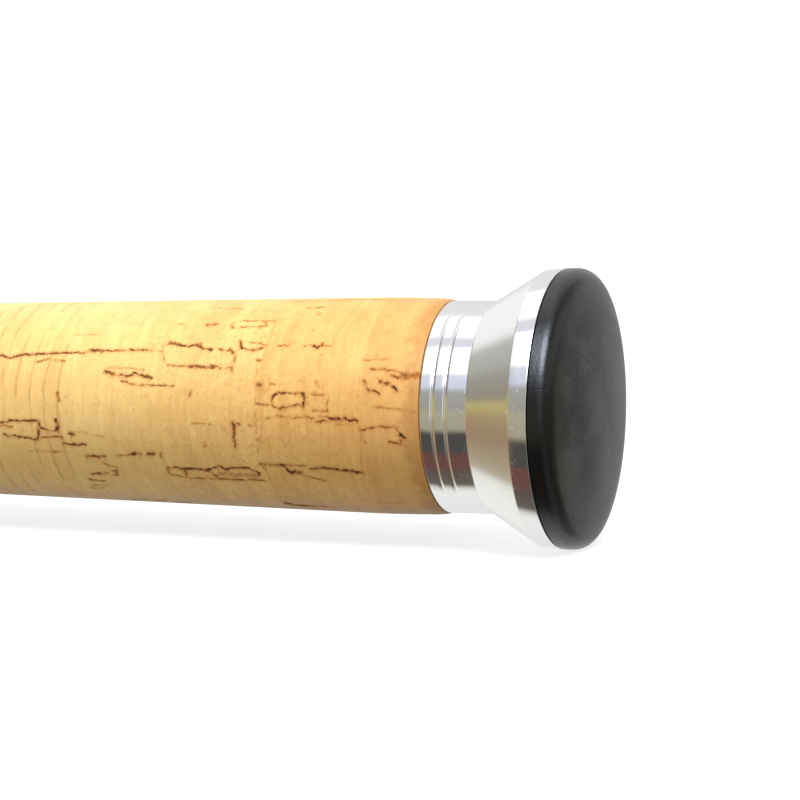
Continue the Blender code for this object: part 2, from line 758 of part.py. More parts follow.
def plain_wrap(start, end):
    """A thread wrap on the bare blank."""
    profile = [
        (start, bore_r(blank_r(start), SEAT_GAP, BLANK_SIDES) + WRAP_EDGE),
        (start + WRAP_RAMP / 2, bore_r(blank_r(start), SEAT_GAP, BLANK_SIDES) + WRAP_THICKNESS),
        (end - WRAP_RAMP / 2, bore_r(blank_r(end), SEAT_GAP, BLANK_SIDES) + WRAP_THICKNESS),
        (end, bore_r(blank_r(end), SEAT_GAP, BLANK_SIDES) + WRAP_EDGE),
        *blank_bore(start, end, SEAT_GAP, BLANK_SIDES),
    ]
    return turned(profile, BLANK_SIDES)


# Hook keeper


def make_hook_keeper(rod, steel, thread):
    root_s = KEEPER_FOOT_S + KEEPER_FOOT_LENGTH
    foot = (KEEPER_FOOT_S, root_s, KEEPER_FOOT_WIDTH / 2, KEEPER_FOOT_THICKNESS)
    eye_s = root_s + EYE_R - EYE_OVERLAP
    eye_height = blank_r(eye_s) + SEAT_GAP + EYE_R
    half = EYE_WIDTH / 2
    loops = []
    for z, r in ((-half, EYE_R), (half, EYE_R), (half, EYE_BORE_R), (-half, EYE_BORE_R)):
        middle = Vector((-eye_s, -eye_height, z))
        turns = [2 * math.pi * k / EYE_SIDES for k in range(EYE_SIDES)]
        loops.append([middle + Vector((r * math.cos(a), r * math.sin(a), 0.0)) for a in turns])
    eye = lofted(loops, hollow=True)
    united("keeper_foot", [foot_shape(foot), eye], steel, rod)
    placed("keeper_wrap", wrap_shape(foot, eye_s - EYE_R - SEAT_GAP), thread, rod)

    hinge = Vector((-eye_s, -eye_height, 0.0))
    inner = KEEPER_HALF_WIDTH - KEEPER_BEND_R
    path = [hinge + Vector((0.0, 0.0, z)) for z in (-inner, 0.0)]
    for angle in spaced(0.0, math.pi / 2, KEEPER_BEND_POINTS):
        x = -KEEPER_BEND_R * (1 - math.cos(angle))
        path.append(hinge + Vector((x, 0.0, inner + KEEPER_BEND_R * math.sin(angle))))
    far = hinge - Vector((KEEPER_BEND_R + KEEPER_STRAIGHT, 0.0, 0.0))
    for angle in spaced(math.pi / 2, -math.pi / 2, KEEPER_ROUND_POINTS):
        round_the_end = Vector((-math.cos(angle), 0.0, math.sin(angle))) * KEEPER_HALF_WIDTH
        path.append(far + round_the_end)
    for angle in spaced(math.pi / 2, 0.0, KEEPER_BEND_POINTS)[:-1]:
        x = -KEEPER_BEND_R * (1 - math.cos(angle))
        path.append(hinge + Vector((x, 0.0, -inner - KEEPER_BEND_R * math.sin(angle))))
    placed("keeper_ring", wire(path, KEEPER_WIRE_R, closed=True), steel, rod, tuple(hinge))


# Guides


def ring_profile(s, outer_r, inner_r, length):
    """The rounded section of a ceramic ring, centred at s."""
    middle = (outer_r + inner_r) / 2
    half = (outer_r - inner_r) / 2
    turns = [2 * math.pi * k / RING_SECTION_SIDES for k in range(RING_SECTION_SIDES)]
    return [(s + length / 2 * math.cos(a), middle + half * math.sin(a)) for a in turns]


def ring_sizes(ring_r):
    """A ring's inner radius and its length along the rod."""
    inner_r = ring_r - ring_r * RING_WIDTH_SHARE - RING_WIDTH_ADDED
    return inner_r, ring_r * RING_LENGTH_SHARE + RING_LENGTH_ADDED


def holder_shape(s, ring_r, height, length):
    """The band of the frame that holds the ring, and its middle radius."""
    inner_r = bore_r(ring_r, SEAT_GAP, RING_SIDES)
    outer_r = inner_r + HOLDER_WALL
    ends = (s - length / 2, s + length / 2)
    profile = [(ends[0], inner_r), (ends[0], outer_r), (ends[1], outer_r), (ends[1], inner_r)]
    return turned(profile, RING_SIDES, height), (inner_r + outer_r) / 2


def holder_point(s, height, middle_r, spread):
    """A point in the band, at an angle from its side nearest the blank."""
    return Vector((-s, -height + middle_r * math.cos(spread), middle_r * math.sin(spread)))


def leg_path(start, foot_s, foot_height, across, bend):
    """A leg from the band to the foot, which bends near its lower end."""
    foot = Vector((-foot_s, -foot_height, across))
    low = foot.lerp(start, LEG_BEND_AT) + Vector((bend, 0.0, 0.0))
    middle = foot.lerp(start, LEG_MIDDLE_AT) + Vector((bend / 2, 0.0, 0.0))
    return [start, middle, low, foot]


def make_guide(number, rod, steel, ceramic, thread):
    """A guide: a band with its ceramic ring, and legs on one foot or two, each under a thread wrap."""
    name = GUIDE_NAMES[number]
    s = GUIDE_S[number]
    height = GUIDE_HEIGHT[number]
    ring_r = GUIDE_RING_R[number]
    wire_r = GUIDE_WIRE_R[number]
    foot_length = ring_r * FOOT_LENGTH_SHARE + FOOT_LENGTH_ADDED
    half_width = wire_r * FOOT_HALF_WIDTH_SHARE
    inner_r, length = ring_sizes(ring_r)
    holder, middle_r = holder_shape(s, ring_r, height, length - HOLDER_SINK)
    shapes = [holder]

    def add_leg(base, spread, across, bend, radius):
        start = holder_point(s, height, middle_r, spread)
        lift = blank_r(base) + SEAT_GAP + wire_r * LEG_LIFT_SHARE
        shapes.append(wire(leg_path(start, base, lift, across, bend), radius))

    def add_foot(base, toward, wrap_name):
        """A foot that runs from below the leg towards +1, the tip, or -1, the butt."""
        root_s = base - toward * wire_r
        foot = (base + toward * foot_length, root_s, half_width, wire_r * FOOT_THICKNESS_SHARE)
        shapes.append(foot_shape(foot))
        wrap = wrap_shape(foot, base + toward * wire_r * FOOT_BARE_SHARE)
        placed(f"{name}_{wrap_name}", wrap, thread, rod)

    if number < TWO_FOOT_GUIDES:
        rear_base = s - height * REAR_LEG_REACH
        front_base = s + height * FRONT_LEG_REACH
        for side in (-1, 1):
            across = side * half_width * REAR_LEG_STANCE
            add_leg(rear_base, side * LEG_SPREAD, across, wire_r, wire_r)
        add_leg(front_base, 0.0, 0.0, -wire_r, wire_r * FRONT_LEG_SHARE)
        add_foot(rear_base, -1, "rear_wrap")
        add_foot(front_base, 1, "front_wrap")
    else:
        base = s - height * SINGLE_LEG_REACH
        for side in (-1, 1):
            across = side * half_width * SINGLE_LEG_STANCE
            add_leg(base, side * LEG_SPREAD, across, wire_r, wire_r)
        add_foot(base, -1, "wrap")
    united(f"{name}_frame", shapes, steel, rod)
    ring = turned(ring_profile(s, ring_r, inner_r, length), RING_SIDES, height)
    placed(f"{name}_ring", ring, ceramic, rod)


def tip_top_sizes():
    """The tip top's tube radius, the place of its ring, its height and its band's outer radius."""
    tube_s = BLANK_TIP_S - TIP_TUBE_LENGTH
    tube_r = bore_r(blank_r(tube_s), SEAT_GAP, TIP_TUBE_SIDES) + TIP_TUBE_WALL
    band_r = bore_r(TIP_RING_R, SEAT_GAP, RING_SIDES) + HOLDER_WALL
    ring_s = BLANK_TIP_S + SEAT_GAP + TIP_HOLDER_LENGTH / 2
    height = tube_r + band_r - TIP_TUBE_CAP
    return tube_s, tube_r, ring_s, height, band_r


def make_tip_top(rod, steel, ceramic, thread):
    tube_s, tube_r, ring_s, height, band_r = tip_top_sizes()
    cap_s = BLANK_TIP_S + SEAT_GAP
    tube_bore = tube_r - TIP_TUBE_WALL
    tube = [
        (cap_s, 0.0),
        (cap_s, tube_bore),
        (tube_s, tube_bore),
        (tube_s, tube_r),
        (cap_s + TIP_TUBE_CAP, tube_r),
        (cap_s + TIP_TUBE_CAP + TIP_TUBE_CROWN, tube_bore),
        (cap_s + TIP_TUBE_CAP + TIP_TUBE_CROWN, 0.0),
    ]
    holder, middle_r = holder_shape(ring_s, TIP_RING_R, height, TIP_HOLDER_LENGTH)
    shapes = [turned(tube, TIP_TUBE_SIDES), holder]
    for side in (-1, 1):
        start = holder_point(ring_s, height, middle_r, side * TIP_BRACE_TOP)
        foot_s = tube_s + TIP_BRACE_FROM_END
        foot = [polar(foot_s + step, tube_r, side * TIP_BRACE_ANGLE) for step in (TIP_BRACE_SEAT, 0.0)]
        shapes.append(wire([start, *foot], TIP_WIRE_R))
    united("tip_top_frame", shapes, steel, rod)
    inner_r, length = ring_sizes(TIP_RING_R)
    ring = turned(ring_profile(ring_s, TIP_RING_R, inner_r, length), RING_SIDES, height)
    placed("tip_top_ring", ring, ceramic, rod)
    wrap = plain_wrap(tube_s - FACE_GAP - TIP_WRAP_LENGTH, tube_s - FACE_GAP)
    placed("tip_top_wrap", wrap, thread, rod)


# Lie of the rod


def lying_angles():
    """The roll and the tilt with which pad, first guide and tip top touch a flat surface together."""
    _, _, tip_s, tip_height, tip_r = tip_top_sizes()
    guide_r = bore_r(GUIDE_RING_R[0], SEAT_GAP, RING_SIDES) + HOLDER_WALL
    to_guide = GUIDE_S[0] - PAD_BACK_S
    to_tip = tip_s - PAD_BACK_S
    drop = (PAD_RIM_R - tip_r) * to_guide - (PAD_RIM_R - guide_r) * to_tip
    lift = drop / (GUIDE_HEIGHT[0] * to_tip - tip_height * to_guide)
    tilt = math.atan((PAD_RIM_R - tip_r + tip_height * lift) / to_tip)
    return math.asin(lift), tilt


def lay_down(rod):
    """Turn the rod to the angles at which it lies, and bring the middle of its base to the origin."""
    roll, tilt = lying_angles()
    rod.rotation_euler = (-roll, -tilt, 0.0)
    bpy.context.view_layer.update()
    graph = bpy.context.evaluated_depsgraph_get()
    corners = []
    for piece in bpy.data.objects:
        if piece.type == "MESH" and not piece.hide_render:
            shown = piece.evaluated_get(graph)
            corners += [shown.matrix_world @ vertex.co for vertex in shown.data.vertices]
    low = Vector([min(corner[axis] for corner in corners) for axis in range(3)])
    high = Vector([max(corner[axis] for corner in corners) for axis in range(3)])
    rod.location = (-(low.x + high.x) / 2, -(low.y + high.y) / 2, -low.z)


def main():
    remove_old_objects()
    rubber = make_material("rubber", (0.035, 0.036, 0.040), 0.62)
    aluminium = make_material("aluminium", (0.86, 0.86, 0.85), 0.22, 1.0)
    cork = make_material("cork", (0.68, 0.43, 0.19), 0.70)
    graphite = make_material("graphite", (0.030, 0.030, 0.033), 0.38)
    carbon = make_material("carbon", (0.022, 0.024, 0.028), 0.18)
    steel = make_material("polished_steel", (0.62, 0.62, 0.63), 0.15, 1.0)
    ceramic = make_material("ceramic", (0.060, 0.062, 0.068), 0.12)
    thread = make_material("thread", (0.025, 0.025, 0.030), 0.10)

    rod = bpy.data.objects.new("rod", None)
    bpy.context.scene.collection.objects.link(rod)
    make_butt_pad(rod, rubber)
    make_butt_collar(rod, aluminium)
    make_rear_grip(rod, cork)
    make_seat_ring(rod, aluminium)
    make_reel_seat(rod, graphite)
    make_arbors(rod, graphite)
    make_hoods(rod, graphite)
    make_slip_washer(rod, graphite)
    make_lock_nut(rod, aluminium)
    make_foregrip(rod, cork)
    make_winding_check(rod, aluminium)
    make_blank(rod, carbon)
    placed("grip_wrap", plain_wrap(GRIP_WRAP_S, GRIP_WRAP_S + GRIP_WRAP_LENGTH), thread, rod)
    make_hook_keeper(rod, steel, thread)
    for number in range(len(GUIDE_NAMES)):
        make_guide(number, rod, steel, ceramic, thread)
    make_tip_top(rod, steel, ceramic, thread)
    lay_down(rod)


main()
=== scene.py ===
import json
import math

import bmesh
import bpy
import numpy as np
from mathutils import Matrix, Vector


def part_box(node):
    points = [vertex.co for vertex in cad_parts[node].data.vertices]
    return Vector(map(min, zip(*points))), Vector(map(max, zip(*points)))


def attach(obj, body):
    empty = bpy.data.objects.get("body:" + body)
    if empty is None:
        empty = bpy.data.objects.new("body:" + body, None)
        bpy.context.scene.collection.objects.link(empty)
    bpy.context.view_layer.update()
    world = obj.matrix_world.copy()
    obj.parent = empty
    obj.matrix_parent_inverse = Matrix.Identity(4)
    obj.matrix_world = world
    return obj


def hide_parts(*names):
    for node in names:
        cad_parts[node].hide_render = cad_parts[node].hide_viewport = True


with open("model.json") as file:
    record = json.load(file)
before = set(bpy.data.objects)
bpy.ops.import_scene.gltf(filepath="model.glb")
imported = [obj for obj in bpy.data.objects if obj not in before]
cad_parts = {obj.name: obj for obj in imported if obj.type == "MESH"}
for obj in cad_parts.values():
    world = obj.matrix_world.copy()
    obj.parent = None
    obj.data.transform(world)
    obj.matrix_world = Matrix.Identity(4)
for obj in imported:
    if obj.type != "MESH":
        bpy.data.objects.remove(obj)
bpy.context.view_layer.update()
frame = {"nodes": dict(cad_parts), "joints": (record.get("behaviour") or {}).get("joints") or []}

# The lie of the rod. It rests on its butt pad, its first guide and its tip top, nearly level and
# rolled a little. Every piece is made along a straight rod, where S is the distance from the crown
# of the butt pad towards the tip and angle zero is the side of the guides, and is then laid down.
joints = {joint["name"]: joint for joint in frame["joints"]}
TO_BUTT = Vector(joints["hood_slide"]["axis"]).normalized()
ACROSS = Vector(joints["keeper_swing"]["axis"]).normalized()
AXIS_POINT = Vector(joints["nut_turn"]["pos_m"])
CROWN = AXIS_POINT + TO_BUTT * ((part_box("butt_pad")[1].x - AXIS_POINT.x) / TO_BUTT.x)
LIE = Matrix((TO_BUTT, ACROSS.cross(TO_BUTT), ACROSS)).transposed().to_4x4()
LIE.translation = CROWN
STRAIGHTEN = LIE.inverted()


def rod_point(s, r, angle):
    """The place at S along the rod, r from its middle, at an angle from the guides' side."""
    return Vector((-s, -r * math.cos(angle), r * math.sin(angle)))


# The camera looks at the butt end from near by, a little from above and from behind the pad.
# It is placed by where it sees the middle of the pad's rim.
RIM_S = 0.0044
RIM_TO_THE_RIGHT = 0.01923
RIM_BELOW = 0.000994
RIM_AWAY = 0.2733
AZIMUTH = math.radians(20.52)
ELEVATION = math.radians(3.91)
LENS = 108.0
SENSOR = 36.0
NEAREST_SEEN = 0.01
PHOTO_SIDE = 800
right = Vector((math.cos(AZIMUTH), math.sin(AZIMUTH), 0.0))
forward = Vector((-math.sin(AZIMUTH), math.cos(AZIMUTH), 0.0)) * math.cos(ELEVATION)
forward.z = -math.sin(ELEVATION)
upward = right.cross(forward)
rim_middle = LIE @ rod_point(RIM_S, 0.0, 0.0)
eye = rim_middle - right * RIM_TO_THE_RIGHT + upward * RIM_BELOW - forward * RIM_AWAY
camera_data = bpy.data.cameras.new("camera")
camera_data.lens = LENS
camera_data.sensor_width = SENSOR
camera_data.clip_start = NEAREST_SEEN
camera = bpy.data.objects.new("camera", camera_data)
camera.matrix_world = Matrix((right, upward, -forward)).transposed().to_4x4()
camera.matrix_world.translation = eye
bpy.context.scene.collection.objects.link(camera)
bpy.context.scene.camera = camera
bpy.context.scene.view_settings.view_transform = "Standard"


# The studio: a white floor and surroundings, even light and one large soft lamp that nothing
# mirrors. Metal and rubber mirror a painted room instead: bands of ceiling, wall and dark furniture
# round the rod, other bands beyond its tip, plain walls past its butt, and one bright window.
AMBIENT = (0.84, 0.84, 0.82)
SEEN_WHITE = (1.0, 1.0, 1.0)
LAMP_PLACE = Vector((2.2, -2.5, 5.2))
LAMP_SIDE = 2.6
LAMP_WATTS = 350.0
FLOOR_SIDE = 80.0
FLOOR_GLOW = 0.80
FLOOR_SEEN = (0.25, 0.25, 0.25)
FLOOR_BOUNCE = (0.31, 0.30, 0.27)


def tone(red, green, blue):
    """A linear colour from its values of 0 to 255 on a screen."""
    shares = [value / 255 for value in (red, green, blue)]
    return tuple(v / 12.92 if v <= 0.04045 else ((v + 0.055) / 1.055) ** 2.4 for v in shares)


# What is mirrored beside the rod, by degrees: 0 in front of it, 90 above it and -90 below it.
MIRRORED_WHITE = (1.25, 1.25, 1.25)
BESIDE = (
    (-180, tone(228, 228, 226)),
    (-101, tone(242, 243, 240)),
    (-94, tone(214, 213, 208)),
    (-88, tone(104, 98, 90)),
    (-72, tone(96, 84, 78)),
    (-64, tone(108, 76, 68)),
    (-50, tone(106, 74, 68)),
    (-45, tone(78, 76, 73)),
    (-26, tone(78, 76, 72)),
    (-20, tone(166, 161, 138)),
    (-3, tone(172, 168, 146)),
    (4, tone(160, 157, 150)),
    (19, tone(166, 166, 162)),
    (25, tone(212, 218, 232)),
    (37, tone(224, 226, 238)),
    (41, MIRRORED_WHITE),
    (70, MIRRORED_WHITE),
    (72, tone(226, 227, 234)),
    (82, tone(230, 231, 236)),
    (86, MIRRORED_WHITE),
    (115, MIRRORED_WHITE),
    (122, tone(236, 236, 234)),
    (180, tone(228, 228, 226)),
)
# What is mirrored beyond the rod's tip, by the same degrees.
BEYOND = (
    (-180, tone(252, 253, 250)),
    (-107, tone(240, 241, 232)),
    (-102, tone(176, 164, 138)),
    (-85, tone(168, 154, 126)),
    (-62, tone(156, 132, 104)),
    (-20, tone(172, 148, 112)),
    (-6, tone(186, 172, 116)),
    (14, tone(188, 176, 116)),
    (22, tone(146, 141, 128)),
    (68, tone(158, 154, 142)),
    (80, tone(176, 178, 170)),
    (104, tone(180, 182, 174)),
    (112, tone(252, 253, 250)),
    (180, tone(252, 253, 250)),
)
# Where one backdrop gives way to the next. ALONG is how far a direction points to the butt, and UP
# how far it points up, both from -1 to 1.
BEYOND_ALONG = (-0.44, -0.60)
CEILING = tone(232, 234, 238)
CEILING_ALONG = (-0.10, 0.10)
CEILING_UP = (-0.25, -0.05)
WINDOW = (11.5, 12.4, 14.8)
WINDOW_DEGREES = (22.0, 46.0, 56.0, 72.0)
WINDOW_ALONG = (-0.32, -0.14, 0.22, 0.40)
NEAR_WALL = tone(156, 156, 152)
NEAR_WALL_ALONG = (0.27, 0.38)
FAR_WALL = tone(150, 141, 126)
FAR_WALL_ALONG = (0.52, 0.78)
FAR_WALL_TOP = tone(230, 230, 228)
FAR_WALL_TOP_UP = (0.10, 0.42)
FAR_WALL_FOOT = tone(112, 104, 94)
FAR_WALL_FOOT_UP = (-0.22, -0.45)


class Wire:
    """A value in a node tree. Python's operators on it add Math nodes."""

    def __init__(self, paint, socket):
        self.paint = paint
        self.socket = socket

    def math(self, operation, *others):
        return self.paint.add("Math", dict(enumerate((self, *others))), operation=operation)

    def after(self, operation, first):
        return self.paint.add("Math", {0: first, 1: self}, operation=operation)

    def __add__(self, other):
        return self.math("ADD", other)

    def __radd__(self, other):
        return self.after("ADD", other)

    def __sub__(self, other):
        return self.math("SUBTRACT", other)

    def __rsub__(self, other):
        return self.after("SUBTRACT", other)

    def __mul__(self, other):
        return self.math("MULTIPLY", other)

    def __truediv__(self, other):
        return self.math("DIVIDE", other)

    def __neg__(self):
        return self.math("MULTIPLY", -1.0)


class Paint:
    """The node tree of a material or of the world. Its add method adds any other node."""

    def __init__(self, owner):
        owner.use_nodes = True
        self.tree = owner.node_tree

    def add(self, kind, inputs=None, output=0, **settings):
        node = self.tree.nodes.new("ShaderNode" + kind)
        for name, value in settings.items():
            setattr(node, name, value)
        for name, value in (inputs or {}).items():
            self.feed(node.inputs[name], value)
        return Wire(self, node.outputs[output])

    def feed(self, socket, value):
        if isinstance(value, Wire):
            self.tree.links.new(value.socket, socket)
        elif socket.type == "RGBA" and len(value) == 3:
            socket.default_value = (*value, 1.0)
        else:
            socket.default_value = value

    def mix(self, share, first, second):
        return self.add("Mix", {0: share, 6: first, 7: second}, output=2, data_type="RGBA")

    def coated(self, colour, *layers):
        """A colour under layers, each given as its share and its own colour."""
        for share, layer in layers:
            colour = self.mix(share, colour, layer)
        return colour

    def smooth(self, value, start, end):
        """0 at the start and 1 at the end, which may lie below it, with a smooth step between."""
        inputs = {"Value": value, "From Min": start, "From Max": end}
        return self.add("MapRange", inputs, interpolation_type="SMOOTHSTEP")

    def plateau(self, value, start, full, fading, end):
        """0 outside the start and the end, 1 from full to fading, and smooth between them."""
        return self.smooth(value, start, full) * self.smooth(value, end, fading)

    def split(self, vector):
        """The three parts of a vector or a colour."""
        node = self.add("SeparateXYZ", {0: vector}).socket.node
        return [Wire(self, part) for part in node.outputs]

    def combine(self, x, y, z):
        return self.add("CombineXYZ", {0: x, 1: y, 2: z})

    def vector(self, operation, first, second):
        return self.add("VectorMath", {0: first, 1: second}, operation=operation)

    def noise(self, place, scale, detail=2.0, rough=0.5):
        inputs = {"Vector": place, "Scale": scale, "Detail": detail, "Roughness": rough}
        return self.add("TexNoise", inputs)

    def noise_along(self, value, scale, detail, rough):
        inputs = {"W": value, "Scale": scale, "Detail": detail, "Roughness": rough}
        return self.add("TexNoise", inputs, noise_dimensions="1D")

    def cells(self, place, scale, feature="F1"):
        return self.add("TexVoronoi", {"Vector": place, "Scale": scale}, feature=feature)


world = bpy.data.worlds.new("studio")
bpy.context.scene.world = world
sky = Paint(world)
along, aside, up = sky.split(sky.add("TexCoord", output="Generated"))
share_round = up.math("ARCTAN2", -aside) / (2 * math.pi) + 0.5


def bands(colours):
    """A ramp of colours round the rod, from their degrees of -180 to 180."""
    ramp = sky.add("ValToRGB", {0: share_round})
    elements = ramp.socket.node.color_ramp.elements
    elements[0].color = (*colours[0][1], 1.0)
    elements[1].color = (*colours[-1][1], 1.0)
    for degrees, colour in colours[1:-1]:
        elements.new((degrees + 180) / 360).color = (*colour, 1.0)
    return ramp


in_window = sky.plateau(share_round * 360.0 - 180.0, *WINDOW_DEGREES)
in_window = in_window * sky.plateau(along, *WINDOW_ALONG)
far_wall = sky.coated(
    FAR_WALL,
    (sky.smooth(up, *FAR_WALL_TOP_UP), FAR_WALL_TOP),
    (sky.smooth(up, *FAR_WALL_FOOT_UP), FAR_WALL_FOOT),
)
mirrored = sky.coated(
    bands(BESIDE),
    (sky.smooth(along, *BEYOND_ALONG), bands(BEYOND)),
    (sky.smooth(along, *CEILING_ALONG) * sky.smooth(up, *CEILING_UP), CEILING),
    (in_window, WINDOW),
    (sky.smooth(along, *NEAR_WALL_ALONG), NEAR_WALL),
    (sky.smooth(along, *FAR_WALL_ALONG), far_wall),
)
is_camera = sky.add("LightPath", output="Is Camera Ray")
is_glossy = sky.add("LightPath", output="Is Glossy Ray")
seen = sky.coated(AMBIENT, (is_glossy, mirrored), (is_camera, SEEN_WHITE))
sky.feed(sky.tree.nodes["Background"].inputs["Color"], seen)

lamp_data = bpy.data.lights.new("lamp", "AREA")
lamp_data.size = LAMP_SIDE
lamp_data.energy = LAMP_WATTS
lamp = bpy.data.objects.new("lamp", lamp_data)
lamp.location = LAMP_PLACE
lamp.visible_glossy = False
lamp.rotation_euler = (LAMP_PLACE - CROWN).to_track_quat("Z", "Y").to_euler()
bpy.context.scene.collection.objects.link(lamp)

floor_material = bpy.data.materials.new("studio_floor")
floor_paint = Paint(floor_material)
floor_nodes = floor_paint.tree.nodes
floor_nodes.remove(floor_nodes["Principled BSDF"])
matt = floor_paint.add("BsdfDiffuse", {"Color": FLOOR_SEEN})
glow = floor_paint.add("Emission", {"Strength": FLOOR_GLOW})
seen_floor = floor_paint.add("AddShader", {0: matt, 1: glow})
lit_floor = floor_paint.add("BsdfDiffuse", {"Color": FLOOR_BOUNCE})
through_floor = floor_paint.add("BsdfTransparent")
ray_camera = floor_paint.add("LightPath", output="Is Camera Ray")
ray_glossy = floor_paint.add("LightPath", output="Is Glossy Ray")
other_rays = floor_paint.add("MixShader", {0: ray_glossy, 1: lit_floor, 2: through_floor})
floor_shader = floor_paint.add("MixShader", {0: ray_camera, 1: other_rays, 2: seen_floor})
floor_paint.feed(floor_nodes["Material Output"].inputs["Surface"], floor_shader)
half = FLOOR_SIDE / 2
floor_mesh = bpy.data.meshes.new("studio_floor")
floor_corners = [(-half, -half, 0.0), (half, -half, 0.0), (half, half, 0.0), (-half, half, 0.0)]
floor_mesh.from_pydata(floor_corners, [], [(0, 1, 2, 3)])
floor_mesh.materials.append(floor_material)
floor = bpy.data.objects.new("studio_floor", floor_mesh)
bpy.context.scene.collection.objects.link(floor)


# The butt pad is moulded from black rubber, with a crowned matt face and a smoother shoulder. Its
# stem is pushed into the collar and glued. Its face is dusty, and its shoulder has one short cut.
PAD_RIM_R = 0.0160
PAD_FACE_R = 0.0146
PAD_CROWN = 0.0016
PAD_BACK_S = RIM_S
PAD_EDGE = 0.00008
PAD_STEM_R = 0.0077
PAD_STEM_END_S = PAD_BACK_S + 0.0074
CUT_ANGLE = math.radians(1.4)
CUT_S = 0.0021
CUT_END_S = 0.0036
CUT_FADE = 0.0003
CUT_WANDER = 0.0003
CUT_WIDTH = (0.00008, 0.00002)
FACE_FADE = (PAD_CROWN * 1.25, PAD_CROWN * 0.6)
FACE_ROWS = 28
SHOULDER_ROWS = 20
RUBBER_DARK = tone(10, 12, 13)
RUBBER_DUSTY = tone(70, 78, 73)
DUST_GRAIN = tone(150, 152, 150)
# The colour of painted shade inside the pad's cut.
PAINTED_CUT_SHADE = tone(2, 2, 3)
RUBBER_RELIEF = 0.00003
FINE_SIDES = 160
WELD = 3e-6
POLE_R = 1e-6
SHARP = math.radians(32)
ROUND_AT_MOST = 0.49
ROUND_CUTS = 6


class Finish(Paint):
    """A material of the rod, with the rod's own coordinates."""

    def __init__(self, name):
        self.material = bpy.data.materials.new(name)
        super().__init__(self.material)
        self.shader = self.tree.nodes["Principled BSDF"].inputs
        place = self.add("TexCoord", output="Object")
        laid = {"Vector": place, "Location": CROWN, "Rotation": LIE.to_euler()}
        self.place = self.add("Mapping", laid, vector_type="TEXTURE")
        x, self.y, self.z = self.split(self.place)
        self.s = -x
        self.angle = self.z.math("ARCTAN2", -self.y)

    def set(self, **values):
        for name, value in values.items():
            socket = name.replace("_", " ").title().replace("Ior", "IOR")
            self.feed(self.shader[socket], value)

    def bump(self, height, distance):
        relief = self.add("Bump", {"Height": height, "Distance": distance})
        self.feed(self.shader["Normal"], relief)


def steps(start, end, count):
    """Evenly spread values from the start to the end, both among them."""
    return [start + (end - start) * k / (count - 1) for k in range(count)]


def whole_turn(count):
    return [2 * math.pi * k / count for k in range(count)]


def arc(middle_s, middle_r, radius, angles):
    """The (S, radius) points of an arc, from angle zero at its lowest S."""
    return [(middle_s - radius * math.cos(a), middle_r + radius * math.sin(a)) for a in angles]


def filleted(corners):
    """The (S, radius) outline through corners given as (S, radius, length cut off by a round)."""
    points = []
    for i, (s, r, *cut) in enumerate(corners):
        corner = Vector((s, r))
        if not cut or i in (0, len(corners) - 1):
            points.append((s, r))
            continue
        ends = []
        for near in (corners[i - 1], corners[i + 1]):
            way = Vector(near[:2]) - corner
            ends.append(corner + way.normalized() * min(cut[0], way.length * ROUND_AT_MOST))
        for t in steps(0.0, 1.0, ROUND_CUTS + 1):
            bend = ends[0] * (1 - t) ** 2 + corner * 2 * t * (1 - t) + ends[1] * t**2
            points.append(tuple(bend))
    return points


def skin(rows, closed=False):
    """A mesh through rows of points that each go round. A closed one returns to its first row."""
    shape = bmesh.new()
    rings = [[shape.verts.new(point) for point in row] for row in rows]
    pairs = list(zip(rings, rings[1:]))
    if closed:
        pairs.append((rings[-1], rings[0]))
    for near, far in pairs:
        for i in range(len(near)):
            j = (i + 1) % len(near)
            shape.faces.new((near[i], near[j], far[j], far[i]))
    if not closed:
        shape.faces.new(rings[0])
        shape.faces.new(list(reversed(rings[-1])))
    return shape


def turned(outline, sides, height=0.0, closed=True):
    """A turned piece from its (S, radius) outline, about the rod's middle or an axis beside it."""
    turns = whole_turn(sides)
    offset = Vector((0.0, -height, 0.0))
    rows = [[rod_point(s, max(r, POLE_R), turn) + offset for turn in turns] for s, r in outline]
    shape = skin(rows, closed)
    bmesh.ops.remove_doubles(shape, verts=shape.verts, dist=WELD)
    return shape


def piece(name, shape, material, body, slot, *nodes, sharp=SHARP):
    """An object of the shape, laid down with the rod, in place of CAD nodes."""
    bmesh.ops.recalc_face_normals(shape, faces=shape.faces)
    shape.transform(LIE)
    mesh = bpy.data.meshes.new(name)
    shape.to_mesh(mesh)
    shape.free()
    mesh.shade_smooth()
    mesh.set_sharp_from_angle(angle=sharp)
    mesh.materials.append(material)
    made = bpy.data.objects.new(name, mesh)
    bpy.context.scene.collection.objects.link(made)
    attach(made, body)
    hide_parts(*nodes)
    return made


face_radius = (PAD_FACE_R**2 + PAD_CROWN**2) / (2 * PAD_CROWN)
face_angle = math.asin(PAD_FACE_R / face_radius)
shoulder = (PAD_RIM_R - PAD_FACE_R) / (1 - math.sin(face_angle))
shoulder_s = PAD_CROWN + shoulder * math.cos(face_angle)
shoulder_turns = steps(face_angle, math.pi / 2, SHOULDER_ROWS)[1:]
pad_outline = [
    *arc(face_radius, 0.0, face_radius, steps(0.0, face_angle, FACE_ROWS)),
    *arc(shoulder_s, PAD_RIM_R - shoulder, shoulder, shoulder_turns),
    (PAD_BACK_S - PAD_EDGE, PAD_RIM_R),
    (PAD_BACK_S, PAD_RIM_R - PAD_EDGE),
    (PAD_BACK_S, PAD_STEM_R),
    (PAD_STEM_END_S, PAD_STEM_R),
    (PAD_STEM_END_S, 0.0),
]
rubber = Finish("rubber")
on_face = rubber.smooth(rubber.s, *FACE_FADE)
cloudy = rubber.noise(rubber.place, 140.0, 6.0, 0.62)
grainy = rubber.noise(rubber.place, 2600.0, 2.0, 0.6)
dusty = rubber.smooth(cloudy + grainy * 0.30, 0.48, 0.85) * (on_face * 0.72 + 0.05)
